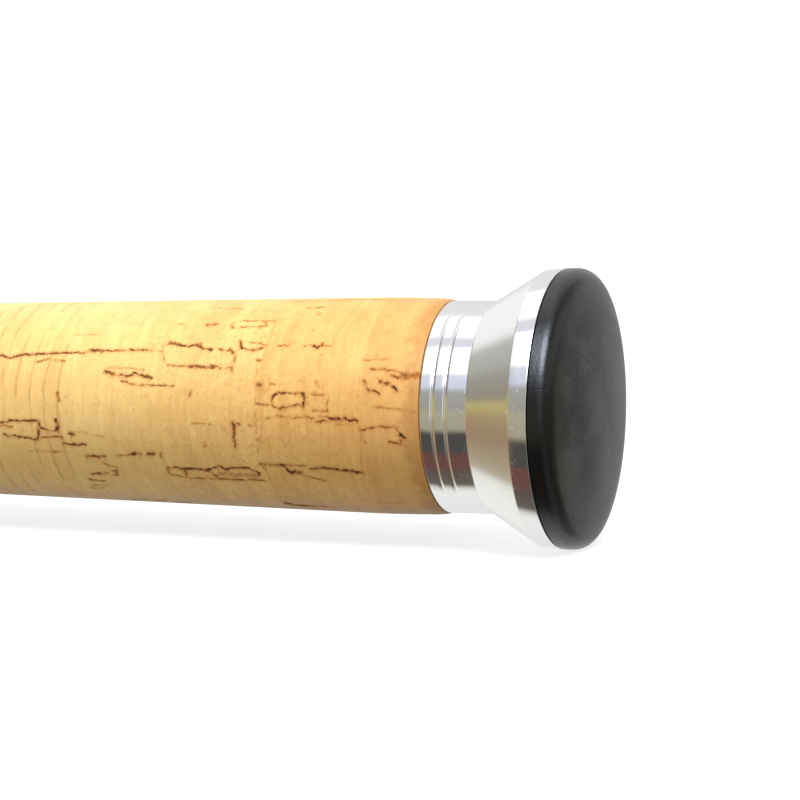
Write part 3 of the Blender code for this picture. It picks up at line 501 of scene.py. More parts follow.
grains = rubber.smooth(rubber.cells(rubber.place, 420.0) + cloudy * 0.10, 0.14, 0.09)
from_cut = (rubber.angle - CUT_ANGLE) * PAD_RIM_R + (grainy - 0.5) * CUT_WANDER
cut = rubber.smooth(from_cut.math("ABSOLUTE"), *CUT_WIDTH)
cut = cut * rubber.plateau(rubber.s, CUT_S, CUT_S + CUT_FADE, CUT_END_S - CUT_FADE, CUT_END_S)
rubber.set(
    base_color=rubber.coated(
        RUBBER_DARK,
        (dusty + on_face * 0.06, RUBBER_DUSTY),
        (grains * on_face * 0.40, DUST_GRAIN),
        # The cut's darker colour is painted shade inside the cut.
        (cut * 0.9, PAINTED_CUT_SHADE),
    ),
    roughness=0.20 + on_face * 0.16 + cloudy * 0.14 + cut * 0.45,
    specular_ior_level=0.54,
)
rubber.bump(grainy * 0.6 + cloudy * 0.4 - cut, RUBBER_RELIEF)
pad = turned(pad_outline, FINE_SIDES, closed=False)
piece("pad", pad, rubber.material, "rod", "rubber", "butt_pad")


# The butt collar is turned from aluminium bar: a polished neck with two fine V grooves, a flare
# left satin by the tool, and a polished lip against the pad. It is glued over the cork's tenon.
COLLAR_S = 0.0045
FLARE_S = 0.0067
NECK_S = 0.0126
COLLAR_END_S = 0.0181
COLLAR_RIM_R = 0.0160
LIP_R = 0.0158
NECK_R = 0.0123
CUP_FLOOR_S = 0.0121
CUP_R = 0.01135
STEM_BORE_R = 0.0080
COLLAR_EDGE = 0.00012
FLARE_EDGE = 0.00006
NECK_FILLET = 0.0001
GROOVE_PITCH = 0.0015
GROOVE_HALF = 0.00025
GROOVE_DEPTH = 0.0001
GROOVE_EDGE = 0.00009
GROOVE_BOTTOM = 0.00005
SATIN_EDGE = 0.00012
POLISHED = tone(246, 246, 247)
NICKED = tone(206, 203, 198)
NICKED_EDGE = (0.0016, 0.0003)
METAL_RELIEF = 0.000004


def v_groove(s, r, half_width, depth):
    """The corners of a V groove, with its edges and its bottom just broken."""
    return [
        (s - half_width, r, GROOVE_EDGE),
        (s, r - depth, GROOVE_BOTTOM),
        (s + half_width, r, GROOVE_EDGE),
    ]


def aluminium(name, satin_s, satin_end_s):
    """Turned aluminium, polished apart from a satin stretch between two places along the rod."""
    metal = Finish(name)
    satin_edges = (satin_s, satin_s + SATIN_EDGE, satin_end_s - SATIN_EDGE, satin_end_s)
    satin = metal.plateau(metal.s, *satin_edges)
    from_start = (metal.s - satin_s).math("ABSOLUTE")
    from_end = (metal.s - satin_end_s).math("ABSOLUTE")
    by_edge = metal.smooth(from_start.math("MINIMUM", from_end), *NICKED_EDGE)
    rings = metal.noise_along(metal.s, 9000.0, 3.0, 0.7)
    broad_rings = metal.noise_along(metal.s, 1400.0, 2.0, 0.5)
    smear = metal.noise(metal.place, 260.0, 4.0, 0.6)
    handled = metal.noise(metal.place, 190.0)
    pitted = metal.noise(metal.place, 3100.0, 4.0, 0.7)
    nick = metal.smooth(pitted + by_edge * 0.035 + handled * 0.16, 0.765, 0.82)
    metal.set(
        base_color=metal.mix(nick * 0.35, POLISHED, NICKED),
        metallic=1.0,
        roughness=0.05 + satin * 0.04 + smear * 0.05 + rings * satin * 0.06 + nick * 0.15,
    )
    height = rings * (satin * 0.2 + 0.03) + broad_rings * 0.15 - nick * 5.0 + smear * 2.0
    metal.bump(height, METAL_RELIEF)
    return metal.material


collar_outline = filleted(
    [
        (COLLAR_S, STEM_BORE_R),
        (COLLAR_S, COLLAR_RIM_R, COLLAR_EDGE),
        (FLARE_S, LIP_R, FLARE_EDGE),
        (NECK_S, NECK_R, NECK_FILLET),
        *v_groove(COLLAR_END_S - 2 * GROOVE_PITCH, NECK_R, GROOVE_HALF, GROOVE_DEPTH),
        *v_groove(COLLAR_END_S - GROOVE_PITCH, NECK_R, GROOVE_HALF, GROOVE_DEPTH),
        (COLLAR_END_S, NECK_R, COLLAR_EDGE),
        (COLLAR_END_S, CUP_R),
        (CUP_FLOOR_S, CUP_R),
        (CUP_FLOOR_S, STEM_BORE_R),
    ]
)
collar_metal = aluminium("collar_aluminium", FLARE_S, NECK_S)
collar = turned(collar_outline, 2 * FINE_SIDES)
piece("collar", collar, collar_metal, "rod", "aluminium", "butt_collar")


# The rear grip is a row of 24 cork rings, each half an inch thick, glued on the blank and turned
# as one. The cork is cut across its growth, so that its bark's pores show as dark broken lines.
CORK_RING = 0.0127
TENON_S = 0.0122
GRIP_S = 0.0182
GRIP_END_S = 0.3170
TENON_R = 0.0110
BUTT_R = 0.0125
BUTT_SLOPE = 0.03
WORN_EDGE = 0.00018
WORN_LENGTH = 0.0016
SWELL_S = 0.0265
SWELL_R = 0.01265
SWELL_TAPER = -0.0142
WAIST_S = 0.1765
WAIST_END_S = 0.2370
WAIST_R = 0.0110
SEAT_END_R = 0.0122
CORK_EDGE = 0.00025
# The blank inside it, and the gap of glue round the blank.
BLANK_BUTT_S = 0.0125
BLANK_TIP_S = 1.5965
BLANK_BUTT_R = 0.0065
BLANK_TIP_R = 0.00115
BLANK_TAPER = 0.9
BORE_GAP = 0.0003
# How finely its skin is divided. The photograph shows the marked end and side, where each face
# that a crack runs through is cut up again.
MARKED_END_S = 0.0760
FIRST_ROW = 0.00002
BASE_STEP = 0.00044
MARK_CUTS = 4
COARSE_STEP = 0.0035
FINE_FROM = math.radians(-102)
FINE_TO = math.radians(92)
FINE_TURN = math.radians(2.0)
COARSE_TURN = math.radians(3.6)
# How a crack is sunk, edged, stained and made uneven, with the longest and the shortest waves.
CRACK_DEPTH = 0.00012
CRACK_FROM = 0.4
FULL_HALF_WIDTH = 0.00038
CRISP = 0.00007
SOFT = 0.00024
STAIN_REACH = 0.00060
STAIN_DARK = 0.40
UNEVEN_WAVES = 18
SHORT_WAVE_POWER = 0.6
WANDER = 0.000055
WANDER_WAVES = (0.0016, 0.00025)
SWELLING = 0.55
SWELLING_WAVES = (0.0012, 0.0003)
FADING_MIDDLE = 0.86
FADING = 0.50
FADED_MOST = 0.30
FADING_WAVES = (0.0024, 0.0004)
# Where the cork's colours change: from and to across a line, and along the grip.
GROWTH_PITCH = 0.0019
GROWN_RING = 4.0
GROWTH_WIDTH = (0.00030, 0.00002)
SEAM_WIDTH = (0.00010, 0.00002)
BUTT_RINGS = (GRIP_S + CORK_RING * 1.9, GRIP_S + CORK_RING * 0.2)
FIRST_RING = (TENON_S + CORK_RING + 0.0002, TENON_S + CORK_RING)
PALE_RINGS = (GRIP_S + CORK_RING * 1.6, GRIP_S + CORK_RING * 3.4)
# Where the cork turns darker and browner towards the collar.
DARKER_BY_COLLAR = (GRIP_S - 0.0014, GRIP_S - 0.0038)
SIDE_FADE = 0.05
LENGTH_FADE = 0.003
CORK_RELIEF = 0.00006
AIM_ROUNDS = 4
# The cracks and pores that the camera sees on the rear grip, each as how dark it is, its width as
# a share of twice FULL_HALF_WIDTH, and the pixels of the photograph that it runs through.
GRIP_MARKS = (
    (0.9, 0.30, (0, 355), (11, 358), (21, 355), (40, 354)),
    (0.9, 0.22, (40, 354), (64, 353), (82, 353), (94, 350), (111, 351), (129, 350), (147, 350)),
    (0.9, 0.45, (86, 352), (94, 350), (102, 352)),
    (0.4, 0.25, (147, 350), (160, 351)),
    (0.6, 0.25, (37, 362), (48, 359), (64, 361)),
    (1.0, 0.24, (0, 423), (9, 421), (38, 421), (40, 428), (51, 431), (57, 431)),
    (1.0, 0.42, (56, 421), (58, 426), (57, 431)),
    (0.5, 0.40, (0, 425), (12, 427)),
    (1.0, 0.24, (4, 435), (22, 437), (37, 440)),
    (1.0, 0.34, (38, 430), (38, 439)),
    (0.7, 0.20, (38, 438), (51, 437), (62, 437), (63, 441)),
    (1.0, 0.45, (70, 434), (74, 435)),
    (0.4, 0.20, (78, 431), (103, 437)),
    (0.9, 0.30, (64, 443), (70, 445), (85, 445)),
    (0.8, 0.30, (55, 452), (57, 452)),
    (0.35, 0.20, (29, 451), (70, 452)),
    (0.9, 0.32, (87, 456), (100, 457), (105, 456)),
    (0.6, 0.22, (117, 456), (132, 455)),
    (0.9, 0.55, (133, 454), (140, 454)),
    (0.8, 0.50, (149, 454), (153, 454)),
    (0.7, 0.25, (161, 453), (161, 457)),
    (0.5, 0.25, (103, 463), (117, 468)),
    (0.9, 0.30, (92, 474), (108, 473)),
    (0.7, 0.30, (113, 471), (117, 471), (117, 475), (113, 475)),
    (0.8, 0.30, (89, 479), (92, 480), (105, 481)),
    (0.6, 0.25, (92, 485), (106, 485)),
    (0.6, 0.25, (91, 488), (103, 488)),
    (0.55, 0.45, (57, 393), (59, 401)),
    (0.9, 0.45, (106, 372), (114, 375)),
    (0.9, 0.32, (114, 375), (129, 376), (135, 373), (143, 376), (152, 378)),
    (0.5, 0.20, (107, 368), (128, 368), (144, 370)),
    (0.7, 0.30, (122, 381), (132, 384)),
    (0.7, 0.20, (132, 384), (141, 385), (173, 386)),
    (0.35, 0.20, (75, 335), (97, 334)),
    (0.4, 0.35, (179, 324), (183, 324)),
    (1.0, 0.42, (208, 325), (217, 324)),
    (0.7, 0.60, (170, 343), (181, 345)),
    (0.9, 0.32, (181, 345), (186, 347), (195, 345), (205, 348), (211, 350)),
    (0.4, 0.25, (163, 346), (163, 355), (167, 365)),
    (0.65, 0.28, (167, 365), (176, 366), (189, 366)),
    (0.7, 0.45, (189, 366), (201, 367), (215, 367)),
    (0.6, 0.22, (191, 391), (189, 397)),
    (0.4, 0.30, (192, 423), (211, 424)),
    (0.35, 0.25, (204, 443), (207, 446), (203, 447)),
    (1.0, 0.26, (168, 468), (176, 467), (185, 470), (187, 476)),
    (1.0, 0.34, (185, 469), (197, 469), (208, 471), (213, 468), (219, 467), (228, 470), (231, 468)),
    (0.6, 0.25, (168, 469), (169, 474), (191, 478), (220, 479)),
    (0.6, 0.25, (132, 499), (146, 499)),
    (0.6, 0.25, (153, 500), (166, 500)),
    (0.6, 0.25, (176, 502), (190, 502)),
    (0.6, 0.20, (234, 323), (241, 321), (264, 321), (276, 321)),
    (0.6, 0.20, (232, 325), (233, 328), (244, 327), (266, 326), (266, 321)),
    (0.8, 0.30, (232, 326), (233, 328)),
    (0.4, 0.22, (220, 308), (242, 309)),
    (0.4, 0.25, (294, 313), (303, 315)),
    (0.5, 0.35, (308, 308), (310, 308)),
    (0.6, 0.35, (317, 308), (323, 307)),
    (0.4, 0.30, (318, 313), (320, 314)),
    (0.6, 0.25, (295, 302), (322, 301), (350, 300), (398, 300)),
    (0.9, 0.26, (200, 344), (203, 348), (210, 350)),
    (0.9, 0.26, (220, 349), (223, 351), (231, 350), (235, 356), (234, 362)),
    (0.6, 0.20, (234, 362), (231, 368)),
    (0.9, 0.26, (240, 341), (242, 348), (248, 350), (257, 350), (263, 348)),
    (0.6, 0.20, (263, 348), (267, 346), (260, 343), (251, 343)),
    (0.6, 0.45, (279, 346), (289, 346)),
    (0.5, 0.25, (304, 346), (311, 345), (331, 346)),
    (0.9, 0.40, (314, 346), (318, 347), (322, 345)),
    (0.8, 0.55, (204, 367), (215, 367)),
    (0.6, 0.35, (219, 368), (231, 368), (232, 371)),
    (0.45, 0.14, (258, 360), (256, 384), (256, 406), (256, 422), (257, 438), (259, 452)),
    (0.8, 0.50, (258, 384), (260, 385)),
    (0.7, 0.35, (257, 438), (258, 439)),
    (0.6, 0.30, (257, 360), (260, 361)),
    (0.7, 0.20, (256, 404), (269, 405), (272, 403)),
    (0.8, 0.28, (272, 406), (272, 400), (273, 396), (278, 393), (285, 393)),
    (0.65, 0.24, (285, 393), (294, 394), (301, 393), (305, 394)),
    (0.95, 0.36, (302, 394), (304, 400), (303, 407)),
    (0.8, 0.24, (272, 406), (278, 409), (288, 407), (297, 405), (303, 407)),
    (0.6, 0.22, (309, 393), (314, 395), (329, 395), (327, 403), (327, 412)),
    (0.55, 0.25, (313, 411), (329, 412)),
    (0.35, 0.20, (308, 394), (308, 405)),
    (0.35, 0.45, (270, 384), (281, 384)),
    (0.5, 0.40, (317, 382), (318, 386)),
    (0.6, 0.20, (266, 419), (279, 416), (294, 418), (309, 417), (311, 419), (317, 416), (328, 417)),
    (0.8, 0.28, (317, 422), (326, 421)),
    (1.0, 0.42, (330, 419), (341, 420), (357, 421)),
    (0.5, 0.30, (336, 424), (347, 424)),
    (1.0, 0.28, (233, 423), (234, 429), (234, 438), (235, 447)),
    (0.7, 0.35, (236, 424), (239, 424)),
    (0.5, 0.35, (249, 425), (251, 426)),
    (0.35, 0.12, (360, 378), (358, 400), (358, 421), (360, 431), (361, 446), (363, 474)),
    (1.0, 0.26, (364, 381), (368, 390), (379, 393)),
    (1.0, 0.40, (380, 382), (389, 384)),
    (1.0, 0.26, (389, 384), (397, 391)),
    (0.4, 0.20, (363, 360), (389, 359)),
    (0.7, 0.22, (371, 369), (386, 370), (401, 372)),
    (0.7, 0.35, (391, 375), (399, 378), (405, 376)),
    (0.6, 0.90, (401, 376), (417, 376)),
    (0.5, 0.20, (373, 407), (395, 409), (416, 412)),
    (0.7, 0.24, (360, 431), (376, 427), (397, 428), (401, 437)),
    (1.0, 0.45, (401, 436), (404, 438)),
    (0.9, 0.26, (401, 437), (401, 445)),
    (0.8, 0.28, (389, 442), (401, 445), (406, 446)),
    (0.4, 0.25, (360, 431), (363, 438), (366, 444)),
    (1.0, 0.26, (231, 468), (248, 468), (259, 473), (259, 476)),
    (0.8, 0.26, (212, 471), (215, 476), (222, 479), (241, 480), (259, 480), (265, 481)),
    (0.3, 1.10, (218, 474), (256, 476)),
    (1.0, 0.28, (261, 464), (273, 465), (282, 465), (291, 472)),
    (1.0, 0.60, (291, 472), (301, 473)),
    (0.6, 0.20, (282, 465), (308, 466)),
    (0.5, 0.20, (263, 466), (266, 471)),
    (0.6, 0.22, (303, 475), (325, 481)),
    (0.8, 0.26, (311, 469), (323, 468)),
    (1.0, 0.38, (323, 468), (341, 470), (363, 473)),
    (1.0, 0.42, (286, 503), (295, 505), (311, 506)),
    (0.6, 0.20, (311, 506), (335, 507)),
    (0.3, 0.22, (376, 502), (401, 503)),
)


def blank_r(s):
    share = (BLANK_TIP_S - s) / (BLANK_TIP_S - BLANK_BUTT_S)
    return BLANK_TIP_R + (BLANK_BUTT_R - BLANK_TIP_R) * min(max(share, 0.0), 1.0) ** BLANK_TAPER


def bore_r(s):
    return blank_r(s) + BORE_GAP


def curve_r(s, start, end):
    """The radius on a smooth curve between two (S, radius, slope) ends."""
    length = end[0] - start[0]
    t = (s - start[0]) / length
    return (
        (2 * t**3 - 3 * t**2 + 1) * start[1]
        + (t**3 - 2 * t**2 + t) * length * start[2]
        + (3 * t**2 - 2 * t**3) * end[1]
        + (t**3 - t**2) * length * end[2]
    )


def rear_grip_r(s):
    if s < SWELL_S:
        worn = WORN_EDGE * max(1.0 - (s - GRIP_S) / WORN_LENGTH, 0.0) ** 2
        return curve_r(s, (GRIP_S, BUTT_R, BUTT_SLOPE), (SWELL_S, SWELL_R, 0.0)) - worn
    if s < WAIST_S:
        return curve_r(s, (SWELL_S, SWELL_R, SWELL_TAPER), (WAIST_S, WAIST_R, 0.0))
    if s < WAIST_END_S:
        return WAIST_R
    return curve_r(s, (WAIST_END_S, WAIST_R, 0.0), (GRIP_END_S, SEAT_END_R, 0.0))


def on_grip(x, y):
    """The place (S, angle) on the rear grip that the camera sees at a pixel."""
    from_middle = right * (x - PHOTO_SIDE / 2) - upward * (y - PHOTO_SIDE / 2)
    ray = STRAIGHTEN.to_3x3() @ (forward + from_middle * (SENSOR / LENS / PHOTO_SIDE))
    start = STRAIGHTEN @ eye
    across = ray.y**2 + ray.z**2
    inward = start.y * ray.y + start.z * ray.z
    r = SWELL_R
    for _ in range(AIM_ROUNDS):
        inside = inward**2 - across * (start.y**2 + start.z**2 - r**2)
        hit = start + ray * ((-inward - math.sqrt(max(inside, 0.0))) / across)
        r = rear_grip_r(max(-hit.x, GRIP_S))
    return -hit.x, math.atan2(hit.z, -hit.y)


def uneven(s, around, seed, longest, shortest):
    """Seeded unevenness over the grip, about -1 to 1, of waves between two lengths."""
    draw = np.random.default_rng(seed)
    total = np.zeros_like(s)
    for _ in range(UNEVEN_WAVES):
        length = longest * (shortest / longest) ** draw.random()
        way, phase = draw.random(2) * 2 * math.pi
        onward = s * math.cos(way) + around * math.sin(way)
        total += np.sin(onward * (2 * math.pi / length) + phase) * (length / longest) ** SHORT_WAVE_POWER
    return total / math.sqrt(UNEVEN_WAVES / 2)


def from_marks(s, angle):
    """How dark each place on the grip is, from 0 to 1, and how far from the nearest crack."""
    around = angle * SWELL_R
    mark_s = s + WANDER * uneven(s, around, 1, *WANDER_WAVES)
    mark_around = around + WANDER * uneven(s, around, 2, *WANDER_WAVES)
    swelling = 1.0 + SWELLING * uneven(s, around, 3, *SWELLING_WAVES)
    fading = FADING_MIDDLE + FADING * uneven(s, around, 4, *FADING_WAVES)
    fading = np.clip(fading, FADED_MOST, 1.0)
    stain_fading = STAIN_DARK * (0.3 + 0.7 * fading)
    darkness = np.zeros_like(s)
    nearest = np.full_like(s, 1.0)
    for dark, width, *pixels in GRIP_MARKS:
        places = [on_grip(*pixel) for pixel in pixels]
        half_width = width * FULL_HALF_WIDTH * swelling
        softness = CRISP + (SOFT - CRISP) * (1.0 - dark)
        for (s0, angle0), (s1, angle1) in zip(places, places[1:]):
            way_s, way_around = s1 - s0, (angle1 - angle0) * SWELL_R
            off_s, off_around = mark_s - s0, mark_around - angle0 * SWELL_R
            share = (off_s * way_s + off_around * way_around) / (way_s**2 + way_around**2)
            share = np.clip(share, 0.0, 1.0)
            off = np.hypot(off_s - share * way_s, off_around - share * way_around) - half_width
            core = np.clip(0.5 - off / softness, 0.0, 1.0) * fading
            stain = np.clip(1.0 - off / STAIN_REACH, 0.0, 1.0) ** 2 * stain_fading
            darkness = np.maximum(darkness, np.maximum(core, stain) * dark)
            nearest = np.minimum(nearest, off)
    return darkness, nearest


def spread(start, end, step):
    """Evenly spread values from the start to the end, about a step apart."""
    return steps(start, end, max(2, round((end - start) / step) + 1))


def whole_grip():
    """The grip's skin before it is cracked, finer on the side and the length that have marks."""
    places = [GRIP_S + FIRST_ROW, GRIP_S + CORK_EDGE]
    places += spread(GRIP_S + 2 * CORK_EDGE, MARKED_END_S, BASE_STEP)
    places += spread(MARKED_END_S, GRIP_END_S - CORK_EDGE, COARSE_STEP)[1:]
    turns = spread(FINE_FROM, FINE_TO, FINE_TURN)
    turns += spread(FINE_TO, FINE_FROM + 2 * math.pi, COARSE_TURN)[1:-1]
    outline = [
        (TENON_S, bore_r(TENON_S)),
        (TENON_S, TENON_R),
        (GRIP_S, TENON_R),
        (GRIP_S, BUTT_R - WORN_EDGE - CORK_EDGE / 2),
        *[(s, rear_grip_r(s)) for s in places],
        (GRIP_END_S, SEAT_END_R - CORK_EDGE),
        (GRIP_END_S, bore_r(GRIP_END_S)),
    ]
    return skin([[rod_point(s, r, turn) for turn in turns] for s, r in outline], closed=True)


def on_cork(points):
    """The S and the angle of places on the grip, and whether they are on its outside."""
    x, y, z = np.array([tuple(point) for point in points]).T
    return -x, np.arctan2(z, -y), np.hypot(y, z) > TENON_R + CORK_EDGE


def crack(shape):
    """Makes the grip's skin finer where it is cracked, notes how dark it is and sinks the cracks."""
    s, angle, outside = on_cork([face.calc_center_median() for face in shape.faces])
    _, off = from_marks(s, angle)
    fine = (off < BASE_STEP) & outside & (s > GRIP_S + CORK_EDGE) & (s < MARKED_END_S)
    cracked = [face for face, is_fine in zip(shape.faces, fine) if is_fine]
    edges = list({edge for face in cracked for edge in face.edges})
    bmesh.ops.subdivide_edges(shape, edges=edges, cuts=MARK_CUTS, use_grid_fill=True)
    s, angle, outside = on_cork([vertex.co for vertex in shape.verts])
    darkness, _ = from_marks(s, angle)
    layer = shape.verts.layers.float.new("crack")
    for vertex, s, angle, outside, dark in zip(shape.verts, s, angle, outside, darkness):
        if not outside or s > MARKED_END_S:
            continue
        vertex[layer] = dark
        if GRIP_S + CORK_EDGE < s < MARKED_END_S:
            sunk = CRACK_DEPTH * max(dark - CRACK_FROM, 0.0) / (1.0 - CRACK_FROM)
            vertex.co = rod_point(s, rear_grip_r(s) - sunk, angle)


def cork(name, first_seam_s, marked):
    """Cork rings: mottled, lined by their growth, with dark pores, cracks and thin glue lines."""
    bark = Finish(name)
    rings_along = (bark.s - first_seam_s) / CORK_RING
    ring = rings_along.math("FLOOR")
    chance = bark.add("TexWhiteNoise", {"W": ring}, output="Color", noise_dimensions="1D")
    lighter, redder, shifted = bark.split(chance)
    shift = bark.combine(ring * 0.37, shifted * 0.9, lighter * 0.7)
    own = bark.vector("ADD", bark.place, shift)
    squeezed = bark.vector("MULTIPLY", own, (1.0, 0.12, 0.12))
    streaks = bark.noise(squeezed, 420.0, 3.0, 0.55)
    fine_streaks = bark.noise(squeezed, 1500.0, 3.0, 0.6)
    clouds = bark.noise(own, 105.0, 4.0, 0.6)
    flecks = bark.noise(own, 620.0, 4.0, 0.65)
    freckles = bark.noise(own, 1250.0, 3.0, 0.6)
    grain = bark.noise(own, 1900.0, 3.0, 0.6)
    ragged_s = bark.s - clouds * 0.0050 - flecks * 0.0030
    mottled = bark.coated(
        bark.mix(bark.smooth(clouds, 0.32, 0.68), tone(222, 172, 98), tone(240, 198, 120)),
        (bark.smooth(streaks, 0.42, 0.66) * 0.55, tone(212, 158, 84)),
        (bark.smooth(fine_streaks, 0.50, 0.68) * 0.36, tone(200, 144, 74)),
        (bark.smooth(fine_streaks, 0.44, 0.30) * 0.40, tone(252, 216, 142)),
        (lighter * 0.22, tone(248, 216, 146)),
        (redder * 0.20, tone(218, 156, 96)),
        (bark.smooth(flecks, 0.54, 0.70) * 0.34, tone(190, 132, 64)),
        (bark.smooth(flecks, 0.44, 0.30) * 0.40, tone(250, 214, 140)),
        (bark.smooth(grain, 0.52, 0.72) * 0.34, tone(176, 120, 58)),
        (bark.smooth(freckles, 0.64, 0.72) * 0.45, tone(158, 102, 46)),
        (bark.smooth(bark.s, *BUTT_RINGS) * 0.36, tone(216, 158, 88)),
        (bark.smooth(bark.s, *FIRST_RING) * 0.20, tone(196, 136, 76)),
        (bark.smooth(bark.s, *PALE_RINGS) * 0.35, tone(250, 222, 150)),
        # The cork is darker and browner towards the collar.
        (bark.smooth(ragged_s, *DARKER_BY_COLLAR) * 0.50, tone(160, 104, 46)),
    )

    bent_s = bark.s + (clouds - 0.5) * 0.0016 + (flecks - 0.5) * 0.0003
    bent_s = bent_s + bark.y * (redder - 0.5) * 0.12
    from_line = ((bent_s / GROWTH_PITCH + shifted).math("FRACT") - 0.5).math("ABSOLUTE")
    grown = ring.math("COMPARE", GROWN_RING, 0.5).math("MAXIMUM", lighter * redder * 0.45)
    growth = bark.smooth(from_line * GROWTH_PITCH, *GROWTH_WIDTH) * grown
    growth = growth * bark.smooth(bark.noise(own, 240.0, 2.0, 0.6), 0.34, 0.60)

    from_seam = (rings_along - rings_along.math("ROUND")).math("ABSOLUTE") * CORK_RING
    glued = bark.smooth(bark.noise(bark.place, 170.0), 0.46, 0.60)
    seam = bark.smooth(from_seam, *SEAM_WIDTH) * glued * 0.5

    warping = bark.noise(own, 900.0, 3.0, 0.6) - 0.5
    slow_warping = bark.noise(own, 210.0) - 0.5

    def pores(cell_s, cells_round, chance_of_one, thickness, salt):
        """Dark broken lines along the rod, at most one in each cell of a grid on the cork."""
        u = bark.s / cell_s + slow_warping * 0.5 + salt
        v = bark.angle * (cells_round / (2 * math.pi)) + warping * 0.16 + slow_warping * 0.9 + salt
        cell = bark.combine(u.math("FLOOR"), v.math("FLOOR"), salt)
        drawn = bark.add("TexWhiteNoise", {"Vector": cell}, output="Color")
        present, middle, length = bark.split(drawn)
        along_line = u.math("FRACT") - 0.5
        slope = (present / chance_of_one - 0.5) * 0.35
        off_v = v.math("FRACT") - 0.5 - (middle - 0.5) * 0.5 + along_line * slope
        off_u = along_line.math("ABSOLUTE") - (length * 0.34 + 0.05)
        own_thickness = (flecks - 0.32).math("MAXIMUM", 0.0) * thickness * 4.0
        line = bark.smooth(off_v.math("ABSOLUTE") - own_thickness, thickness * 0.45, 0.0)
        line = line * bark.smooth(off_u, 0.06, -0.06)
        return line * present.math("LESS_THAN", chance_of_one) * (0.45 + middle * 0.55)

    shaken = bark.add("TexNoise", {"Vector": own, "Scale": 700.0, "Detail": 3.0}, output="Color")
    shaken = bark.add("VectorMath", {0: shaken, "Scale": 0.0009}, operation="SCALE")
    long_place = bark.vector("ADD", bark.vector("MULTIPLY", own, (0.34, 1.0, 1.0)), shaken)
    wall = bark.cells(long_place, 235.0, "DISTANCE_TO_EDGE")
    torn = bark.smooth(bark.noise(own, 150.0), 0.56, 0.64)
    tears = bark.smooth(wall, 0.030, 0.006) * torn * bark.smooth(flecks, 0.30, 0.50)
    drawn_marks = pores(0.0105, 11, 0.50, 0.050, 0.0).math("MAXIMUM", tears)
    drawn_marks = drawn_marks.math("MAXIMUM", pores(0.0052, 17, 0.22, 0.060, 7.3))
    marks = drawn_marks
    if marked:
        side_edges = (FINE_FROM, FINE_FROM + SIDE_FADE, FINE_TO - SIDE_FADE, FINE_TO)
        seen_side = bark.plateau(bark.angle, *side_edges)
        seen_side = seen_side * bark.smooth(bark.s, MARKED_END_S, MARKED_END_S - LENGTH_FADE)
        seam = seam * (1.0 - seen_side)
        drawn_marks = drawn_marks * (1.0 - seen_side)
        cracked = bark.add("Attribute", output="Fac", attribute_name="crack")
        marks = drawn_marks.math("MAXIMUM", cracked)
    stained = bark.smooth(marks, 0.0, 0.42)
    deep = bark.mix(bark.smooth(flecks, 0.38, 0.62), tone(74, 42, 16), tone(128, 78, 32))
    bark.set(
        base_color=bark.coated(
            mottled,
            (growth * 0.40, tone(162, 112, 54)),
            (stained * 0.78, tone(174, 102, 38)),
            (bark.smooth(marks, 0.34, 0.86) * 0.90, deep),
            (seam, tone(120, 78, 36)),
        ),
        roughness=0.46 + stained * 0.30,
        specular_ior_level=0.45,
    )
    height = grain * 0.30 + flecks * 0.35 - growth * 0.15 - drawn_marks - seam * 0.5
    bark.bump(height, CORK_RELIEF)
    return bark.material


grip_shape = whole_grip()
crack(grip_shape)
grip_cork = cork("rear_grip_cork", TENON_S, True)
piece("rear_grip_cork", grip_shape, grip_cork, "rod", "cork", "rear_grip")


# The seat ring is a narrow aluminium ring between the cork and the reel seat, with one turned
# groove. It slides over the blank and is glued to both of its neighbours.
SEAT_RING_S = 0.3171
SEAT_RING_LENGTH = 0.0040
SEAT_RING_GROOVE = 0.0004
RING_EDGE = 0.0002
seat_ring_end = SEAT_RING_S + SEAT_RING_LENGTH
seat_ring_middle = SEAT_RING_S + SEAT_RING_LENGTH / 2
seat_ring_outline = filleted(
    [
        (SEAT_RING_S, bore_r(SEAT_RING_S)),
        (SEAT_RING_S, SEAT_END_R, RING_EDGE),
        *v_groove(seat_ring_middle, SEAT_END_R, SEAT_RING_GROOVE, SEAT_RING_GROOVE),
        (seat_ring_end, SEAT_END_R, RING_EDGE),
        (seat_ring_end, bore_r(seat_ring_end)),
    ]
)
trim_metal = aluminium("trim_aluminium", SEAT_RING_S, seat_ring_end)
seat_trim = turned(seat_ring_outline, FINE_SIDES)
piece("seat_ring_trim", seat_trim, trim_metal, "rod", "aluminium", "seat_ring")


# The reel seat is a barrel moulded from graphite-filled nylon. The reel's foot lies on its flat
# land, and a rolled thread at its front end takes the lock nut. Two bushes centre it on the blank.
BARREL_S = 0.3212
BARREL_END_S = 0.4412
BARREL_R = 0.0106
BARREL_BORE_R = 0.0080
BARREL_CHAMFER = 0.0007
BARREL_SIDES = 144
LAND_HEIGHT = 0.0092
LAND_RISE = 0.0002
LAND_S = 0.3435
LAND_END_S = 0.3909
THREAD_S = 0.3992
THREAD_END_S = 0.4392
THREAD_PITCH = 0.0025
THREAD_DEPTH = 0.0005
THREAD_RUNOUT = 0.0012
RIDGE_HALF = 0.15
CREST_HALF = 0.1225
NYLON_RELIEF = 0.00001
FOAM_RELIEF = 0.00005
THREAD_START_S = THREAD_S - THREAD_RUNOUT
# Where the rows of the barrel's skin lie: from, to and the step between them.
BARREL_STRETCHES = (
    (BARREL_S + 0.0012, LAND_S, 0.004),
    (LAND_S, LAND_S + LAND_RISE, 0.00005),
    (LAND_S + LAND_RISE, LAND_END_S - LAND_RISE, 0.004),
    (LAND_END_S - LAND_RISE, LAND_END_S, 0.00005),
    (LAND_END_S, THREAD_START_S, 0.002),
    (THREAD_START_S, BARREL_END_S - 0.0002, 0.00018),
)


def step_up(value, start, end):
    """0 at the start and 1 at the end, which may lie below it, with a smooth step between."""
    t = min(max((value - start) / (end - start), 0.0), 1.0)
    return t * t * (3 - 2 * t)


